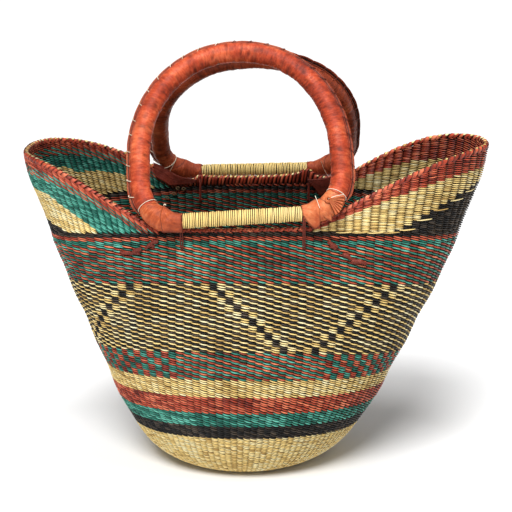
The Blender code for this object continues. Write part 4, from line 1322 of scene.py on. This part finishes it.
def make_winding(handle, seed):
    """Split straw wound tight round the bar, and the straw bundle that fills the leather."""
    loops = WINDING_LOOPS
    t = np.linspace(0, 1, loops * 18)
    turn = 2 * math.pi * loops * t
    radius = (WINDING_RADIUS + 0.00034 * value_noise(t * loops * 1.3, seed)
              + 0.0001 * np.sin(turn * 3))
    x = (-WINDING_HALF_LENGTH + 2 * WINDING_HALF_LENGTH * t
         + 0.00035 * value_noise(t * loops * 2.1, seed + 1))
    line = np.stack([x + 0.0009 * np.sin(turn + 1.1), radius * np.cos(turn),
                     radius * np.sin(turn)], 1)
    out = unit(line * [0, 1, 1])
    wide = WINDING_HALF[0] * (1 + 0.14 * value_noise(t * loops * 0.9, seed + 2))
    item = tubes(handle.name + "_straw_winding", handle.place(line),
                 handle.turn(-frames(line, out)[0]), handle.turn(out), wide, WINDING_HALF[1], 0.5,
                 "natural", 8, painted_lit_share=1.0)
    dress(item, handle.name, "natural_straw", handle.name + "_winding")
    rods = []
    for k in range(BUNDLE_RODS):
        angle = 2 * math.pi * k / (BUNDLE_RODS - 1)
        reach = BUNDLE_REACH if k < BUNDLE_RODS - 1 else 0.0
        rods.append([(v, reach * math.cos(angle + v * 9), reach * math.sin(angle + v * 9))
                     for v in np.linspace(-BUNDLE_HALF_LENGTH, BUNDLE_HALF_LENGTH, 24)])
    centres = handle.place(np.array(rods))
    side, out = frames(centres, handle.turn(np.array([[0, 1.0, 0]]))[0])
    item = tubes(handle.name + "_straw_bundle", centres, -side, out, ROD_HALF, ROD_HALF,
                 random.random(BUNDLE_RODS), "stake")
    dress(item, handle.name, "natural_straw", handle.name + "_core")


def make_wrap(handle, sign, seed):
    """Leather bound round one corner, from the straw bar up to the end of the sleeve."""
    end = handle.corner_length(WRAP_END + 0.02)
    even = np.linspace(WRAP_START, end, WRAP_RINGS)
    points = handle.points_at(np.maximum(even, 0))
    points[:, 0] = np.where(even < 0, BAR_HALF_LENGTH + even, points[:, 0])
    turns = 2 * math.pi * np.arange(WRAP_SIDES) / WRAP_SIDES
    share = np.clip(handle.share_at(even), 0, 1)
    length = (even - even[0]) / (even[-1] - even[0])
    swell = core_radius(share) + 0.0022 + 0.0008 * np.clip(length / 0.2, 0, 1)
    s = even[:, None]
    folds = 1 - 2 * np.abs(patch_noise((s + 0.006 * np.sin(turns + seed)) * 95,
                                       np.cos(turns)[None, :] * 0.9 + 4, seed))
    soft = patch_noise(s * 70, np.sin(turns)[None, :] * 1.5 + 8, seed + 1)
    fine = patch_noise(s * 330, turns[None, :] * 3, seed + 2)
    overlap = (s - 0.024 - 0.009 * np.cos(turns + 0.9 * sign)[None, :]) / 0.0007
    step = 1 / (1 + np.exp(-np.clip(overlap, -30, 30)))
    edge = np.exp(-np.clip(overlap, 0, 30) ** 2 / 6) * (overlap > 0)
    radius = (swell[:, None] + 0.00040 * folds ** 3 + 0.00045 * soft + 0.00008 * fine
              - 0.0008 * step)
    mouth = np.clip(length / 0.02, 0.80, 1) * np.clip((1 - length) / 0.02, 0.93, 1)
    # Painted shade under the overlapping edge and in the deepest folds
    groove = np.clip(1.0 - 0.65 * edge - 0.20 * (folds < -0.6), 0.2, 1)
    name = "%s_%s" % (handle.name, SIDE_NAMES[sign])
    item = ring_shell(handle, name + "_leather_wrap", points, even, radius * mouth[:, None],
                      turns, WRAP_BORE, groove, seed, handle.wrap_leather, sign)
    dress(item, handle.name, "red_leather", name + "_wrap")


def closed_tube(name, line, thick, flat, material, tint=0.6):
    """A closed loop of cord through points."""
    side, out = frames(line, unit(line - line.mean(axis=0)), True)
    return tubes(name, line, -side, out, thick, flat, tint, material, closed=True)


def open_tube(name, line, thick, material, sides=6):
    """A cord through points, with its ends tapered."""
    line = np.asarray(line, float)
    side, out = frames(line, np.array((0.2, 0.1, 1.0)))
    places = np.arange(len(line))
    sizes = thick * np.minimum(1.0, 0.4 + np.minimum(places, places[::-1]) * 0.3)
    return tubes(name, line, -side, out, sizes, sizes, 0.7, material, sides)


def make_twine_ring(handle, sign):
    """Pale twine bound round the joint of sleeve and wrap."""
    at = handle.corner_length(WRAP_END)
    near = handle.points_at(np.array([at - 0.001, at, at + 0.001])) * [sign, 1]
    run = unit(near[2] - near[0])
    out = np.array([run[1], -run[0]]) * sign
    turns = ring_turns(48)
    radius = SLEEVE_RADIUS + 0.0003
    line = (near[1][None, :] + out[None, :] * (radius * np.cos(turns))[:, None]
            + run[None, :] * (0.0012 * np.sin(turns + 0.4))[:, None])
    item = closed_tube("%s_%s_twine" % (handle.name, SIDE_NAMES[sign]),
                       handle.place(standing(line, radius * np.sin(turns))), TWINE_HALF,
                       TWINE_HALF, "twine", 0.8)
    dress(item, handle.name, "natural_straw")


def sheet_mesh(name, grid, thick, material, groove=None):
    """A thin closed sheet from a grid of points, thickened along its own normals."""
    rows, columns = grid.shape[:2]
    normal = unit(np.cross(np.gradient(grid, axis=0), np.gradient(grid, axis=1)))
    vertices = np.concatenate([(grid + normal * thick / 2).reshape(-1, 3),
                               (grid - normal * thick / 2).reshape(-1, 3)])
    half = rows * columns
    top = grid_quads(rows, columns)
    first, last = np.arange(rows) * columns, np.arange(rows) * columns + columns - 1
    near, far = np.arange(columns), half - columns + np.arange(columns)
    quads = [top, half + top[:, ::-1]]
    for a, b in ((first[:-1], first[1:]), (last[1:], last[:-1]), (near[1:], near[:-1]),
                 (far[:-1], far[1:])):
        quads.append(np.stack([a, half + a, half + b, b], 1))
    strand = np.zeros((len(vertices), 3))
    strand[:, 0] = np.tile(np.repeat(np.linspace(0, 0.02, rows), columns), 2)
    strand[:, 1] = np.tile(np.tile(np.linspace(0, 0.4, columns), rows), 2)
    strand[:, 2] = 0.5
    shade = np.ones(rows * columns) if groove is None else groove.reshape(-1)
    return quad_mesh(name, vertices, np.concatenate(quads), strand, material, np.tile(shade, 2))


def draped(handle, flat, lift, seed, rough=0.0006):
    """Lays a flat sheet, given in the ring's plane, over the front of a corner's wrap."""
    sign = 1.0 if flat[..., 0].mean() > 0 else -1.0
    lengths = np.linspace(-0.012, handle.corner_length(0.9), 160)
    line = handle.points_at(np.maximum(lengths, 0))
    line[:, 0] = np.where(lengths < 0, BAR_HALF_LENGTH + lengths, line[:, 0])
    away = np.linalg.norm(flat[..., None, :] * [sign, 1] - line, axis=-1)
    near = away.argmin(-1)
    distance = away.min(-1)
    reach = core_radius(np.clip(handle.share_at(lengths[near]), 0, 1)) + 0.0026 + lift
    on_top = np.sqrt(np.maximum(reach ** 2 - np.minimum(distance, reach * 0.88) ** 2, 0))
    beyond = np.maximum(distance - reach * 0.88, 0)
    height = on_top - beyond * 0.9
    height = height + rough * patch_noise(flat[..., 0] * 240, flat[..., 1] * 240, seed)
    return np.concatenate([flat, height[..., None]], -1)


def outline_grid(edge_a, edge_b, rows, columns):
    """A grid between two edge lines, each given by a few points."""
    first, second = (smooth_line(edge, np.linspace(0, 1, columns)) for edge in (edge_a, edge_b))
    share = np.linspace(0, 1, rows)[:, None, None]
    return first[None] * (1 - share) + second[None] * share


def make_flaps(handle):
    """Loose ends of the corner wraps of the front handle: two flaps, a fold and a fan."""
    for label, (first, second), lift, seed in FLAPS:
        grid = draped(handle, outline_grid(first, second, 26, 34), lift, seed)
        row, column = (np.minimum(np.arange(n), np.arange(n)[::-1]) for n in grid.shape[:2])
        border = np.minimum(row[:, None], column[None, :])
        grid[..., 2] -= 0.0009 * np.exp(-border / 1.6)
        # Painted shade along each flap's border
        item = sheet_mesh("%s_%s" % (handle.name, label), handle.place(grid), 0.0010,
                          "wrap_leather", np.clip(0.30 + border * 0.3, 0, 1))
        dress(item, handle.name, "red_leather")
    share = np.linspace(0, 1, 150)
    knot = np.array(FAN_KNOT)
    radius = np.linspace(0.05, 1.0, 26)[None, :]
    wave = np.abs(np.sin(share * FAN_PLEATS * math.pi))[:, None] ** 0.7
    reach = (radius * (0.965 + 0.035 * wave))[..., None]
    flat = knot + (smooth_line(FAN_EDGE, share)[:, None, :] - knot) * reach
    lift = FAN_LIFT + FAN_FOLD * wave * radius ** 0.8 + FAN_BOW * np.sin(radius * 2.6)
    # Painted shade in the pleats' valleys, most towards the knot
    item = sheet_mesh(handle.name + "_right_fan", handle.place(standing(flat, lift)), 0.0008,
                      "wrap_leather", np.clip(1.30 * wave - 0.35, 0, 1) * (0.55 + 0.45 * radius))
    dress(item, handle.name, "red_leather")
    turns = ring_turns(32)
    loop = np.stack([knot[0] + 0.0022 * np.cos(turns), knot[1] + 0.0026 * np.sin(turns),
                     0.0120 + 0.0010 * np.sin(turns * 2)], 1)
    item = closed_tube(handle.name + "_fan_knot", handle.place(loop), 0.0013, 0.0012,
                       "wrap_leather", 0.4)
    dress(item, handle.name, "red_leather")


def make_threads(handles):
    """Loose threads and knots of twine at the corners, and leather lashed inside the rear rim."""
    for label, which, line, thick in THREADS:
        handle = handles[which]
        curve = smooth_line(line, np.linspace(0, 1, 30))
        item = open_tube("%s_thread_%s" % (handle.name, label), handle.place(curve), thick,
                         "twine")
        dress(item, handle.name, "natural_straw")
    turns = ring_turns(24)
    for number, (x, z) in enumerate(INNER_KNOTS):
        place, normal = on_wall(x, z, 0.0016, True)
        across = unit(np.cross(np.array([0.0, 0.0, 1.0]), normal))
        up = unit(np.cross(normal, across))
        loop = (place + across * (0.0018 * np.cos(turns))[:, None]
                + up * (0.0014 * np.sin(turns))[:, None]
                + normal * (0.0004 * np.sin(turns * 2 + number))[:, None])
        item = closed_tube("inner_knot_%d" % (number + 1), loop, 0.0006, 0.0006, "stake", 0.9)
        dress(item, "root", "natural_straw")
    for label, (first, second), seed in LASHINGS:
        flat = outline_grid(first, second, 16, 34)
        rough = 0.0005 * patch_noise(flat[..., 0] * 260, flat[..., 1] * 200, seed)
        grid = np.array([[on_wall(*place, 0.0022 + more, True)[0]
                          for place, more in zip(*row)] for row in zip(flat, rough)])
        item = sheet_mesh("rear_lashing_" + label, grid, 0.0010, "dark_leather")
        dress(item, "root", "red_leather")


def make_straps(handle):
    """Leather laces tied round the bar's ends and down through the weave."""
    for side_name in SIDE_NAMES.values():
        stem = handle.name.replace("handle", side_name)
        low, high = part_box(stem + "_tie_strap")
        x = (low[0] + high[0]) / 2
        bar_z = handle.hinge[2] + (x - handle.hinge[0]) * math.tan(handle.tilt)
        wall_y = handle.side * (TOP_HALF_DEPTH - 0.001)
        foot = low[2] + 0.0016
        circles = ((handle.side * STAND, bar_z, 0.0060), (wall_y, 0.2590, 0.0050),
                   (wall_y - 0.0042, foot, 0.0009), (wall_y + 0.0042, foot, 0.0009))
        outline = []
        for k in range(LACE_POINTS):
            turn = 2 * math.pi * k / LACE_POINTS
            way = (math.cos(turn), math.sin(turn))
            y, z, radius = max(circles, key=lambda c: c[0] * way[0] + c[1] * way[1] + c[2])
            outline.append((y + (radius + 0.0009) * way[0], z + (radius + 0.0009) * way[1]))
        for number, shift in enumerate(LACE_SHIFTS):
            wave = 0.0003 * np.sin(np.arange(LACE_POINTS) * 0.9 + number * 2)
            line = np.concatenate([(x + shift + wave)[:, None], outline], 1)
            out, across = frames(line, np.array([1.0, 0, 0]), True)
            item = tubes("%s_lace_%d" % (stem, number + 1), line, across, -out, LACE_HALF,
                         LACE_HALF, 0.4, "dark_leather", 8, True)
            dress(item, "root", "red_leather", stem + "_tie_strap")


def on_wall(x, z, lift, inside=False):
    """A point by the front wall, or by the rear one's inside, and the way it faces there."""
    way = 1.0 if inside else -1.0
    angles = np.linspace(math.pi * 0.05, math.pi * 0.95, 400)
    places = outer(angles * way, np.full(400, z))
    angle = np.interp(-x, -places[:, 0], angles) * way
    middle, normal = wall(np.array(angle), np.array(z))[:2]
    return middle - normal * way * (WALL / 2 + lift), -normal * way


def make_wall_knots():
    """Ends of the ties on the outside of the front wall: fat folded leather cords."""
    fine = np.linspace(0, 1, 26)
    fat = 0.30 + 0.70 * np.sin(math.pi * np.clip(fine * 0.86 + 0.10, 0, 1)) ** 0.7
    for number, (points, thick) in enumerate(WALL_KNOTS):
        line = [on_wall(x, z, 0.0008 + thick * 0.4)[0] for x, z in smooth_line(points, fine)]
        size = thick * fat * (1 + 0.14 * value_noise(fine * 7, 50 + number))
        item = open_tube("tie_end_%d" % (number + 1), line, size, "dark_leather", 10)
        dress(item, "root", "red_leather")


def make_handles():
    """Both handles, and what lashes them to the rim."""
    handles = [Handle(*sizes) for sizes in HANDLES]
    for number, handle in enumerate(handles):
        seed = 20 + number * 40
        points, even = make_sleeve(handle, seed)
        make_seam(handle, points, even, seed + 5)
        make_winding(handle, seed + 12)
        for sign in SIDE_NAMES:
            make_wrap(handle, sign, seed + 20 + sign * 3)
            make_twine_ring(handle, sign)
        make_straps(handle)
    make_flaps(handles[0])
    make_threads(handles)


# ---------------------------------------------------------------- stage
def stand(name, data, place, aim):
    """A lamp or camera at a place, turned to what it is aimed at."""
    item = bpy.data.objects.new(name, data)
    item.location = place
    item.rotation_euler = (Vector(aim) - item.location).to_track_quat("-Z", "Y").to_euler()
    bpy.context.scene.collection.objects.link(item)
    return item


def make_stage():
    """Pale floor, soft light from the front and above, and the camera."""
    bpy.ops.mesh.primitive_plane_add(size=FLOOR_SIZE, location=(0, 0, 0))
    floor = bpy.context.object
    floor.name = "floor"
    material, tree, shader = new_material("floor")
    wire(tree, shader, **{"Base Color": (0.90, 0.90, 0.90, 1.0), "Roughness": 0.9})
    floor.data.materials.append(material)

    world = bpy.data.worlds.new("studio")
    world.use_nodes = True
    wire(world.node_tree, world.node_tree.nodes["Background"], Color=(1.0, 1.0, 1.0, 1.0),
         Strength=WORLD_STRENGTH)
    bpy.context.scene.world = world

    key = bpy.data.lights.new("key", "SUN")
    key.energy = 3.4
    key.angle = math.radians(26.0)
    stand("key", key, (-0.20, -0.85, 1.15), (0.0, 0.0, 0.0))
    top = bpy.data.lights.new("top", "AREA")
    top.energy = 9.0
    top.shape = "DISK"
    top.size = 0.5
    stand("top", top, (0.10, -0.25, 1.50), (0.0, 0.0, 0.25))

    camera = bpy.data.cameras.new("camera")
    camera.sensor_width = 36.0
    camera.lens = 36.0 * FOCAL_PIXELS / PHOTO_PIXELS
    camera.clip_start = 0.05
    camera.clip_end = 50.0
    aim = Vector((0.0, 0.0, CAMERA_AIM_HEIGHT))
    rise = math.radians(CAMERA_RISE)
    place = aim + Vector((0.0, -math.cos(rise), math.sin(rise))) * CAMERA_DISTANCE
    bpy.context.scene.camera = stand("camera", camera, place, aim)
    bpy.context.scene.view_settings.view_transform = "Standard"


make_stage()
make_materials()
weave_wall()
weave_ears()
weave.build()
weave_tongues()
weave_stakes()
weave_base()
weave_edge()
make_handles()
make_wall_knots()
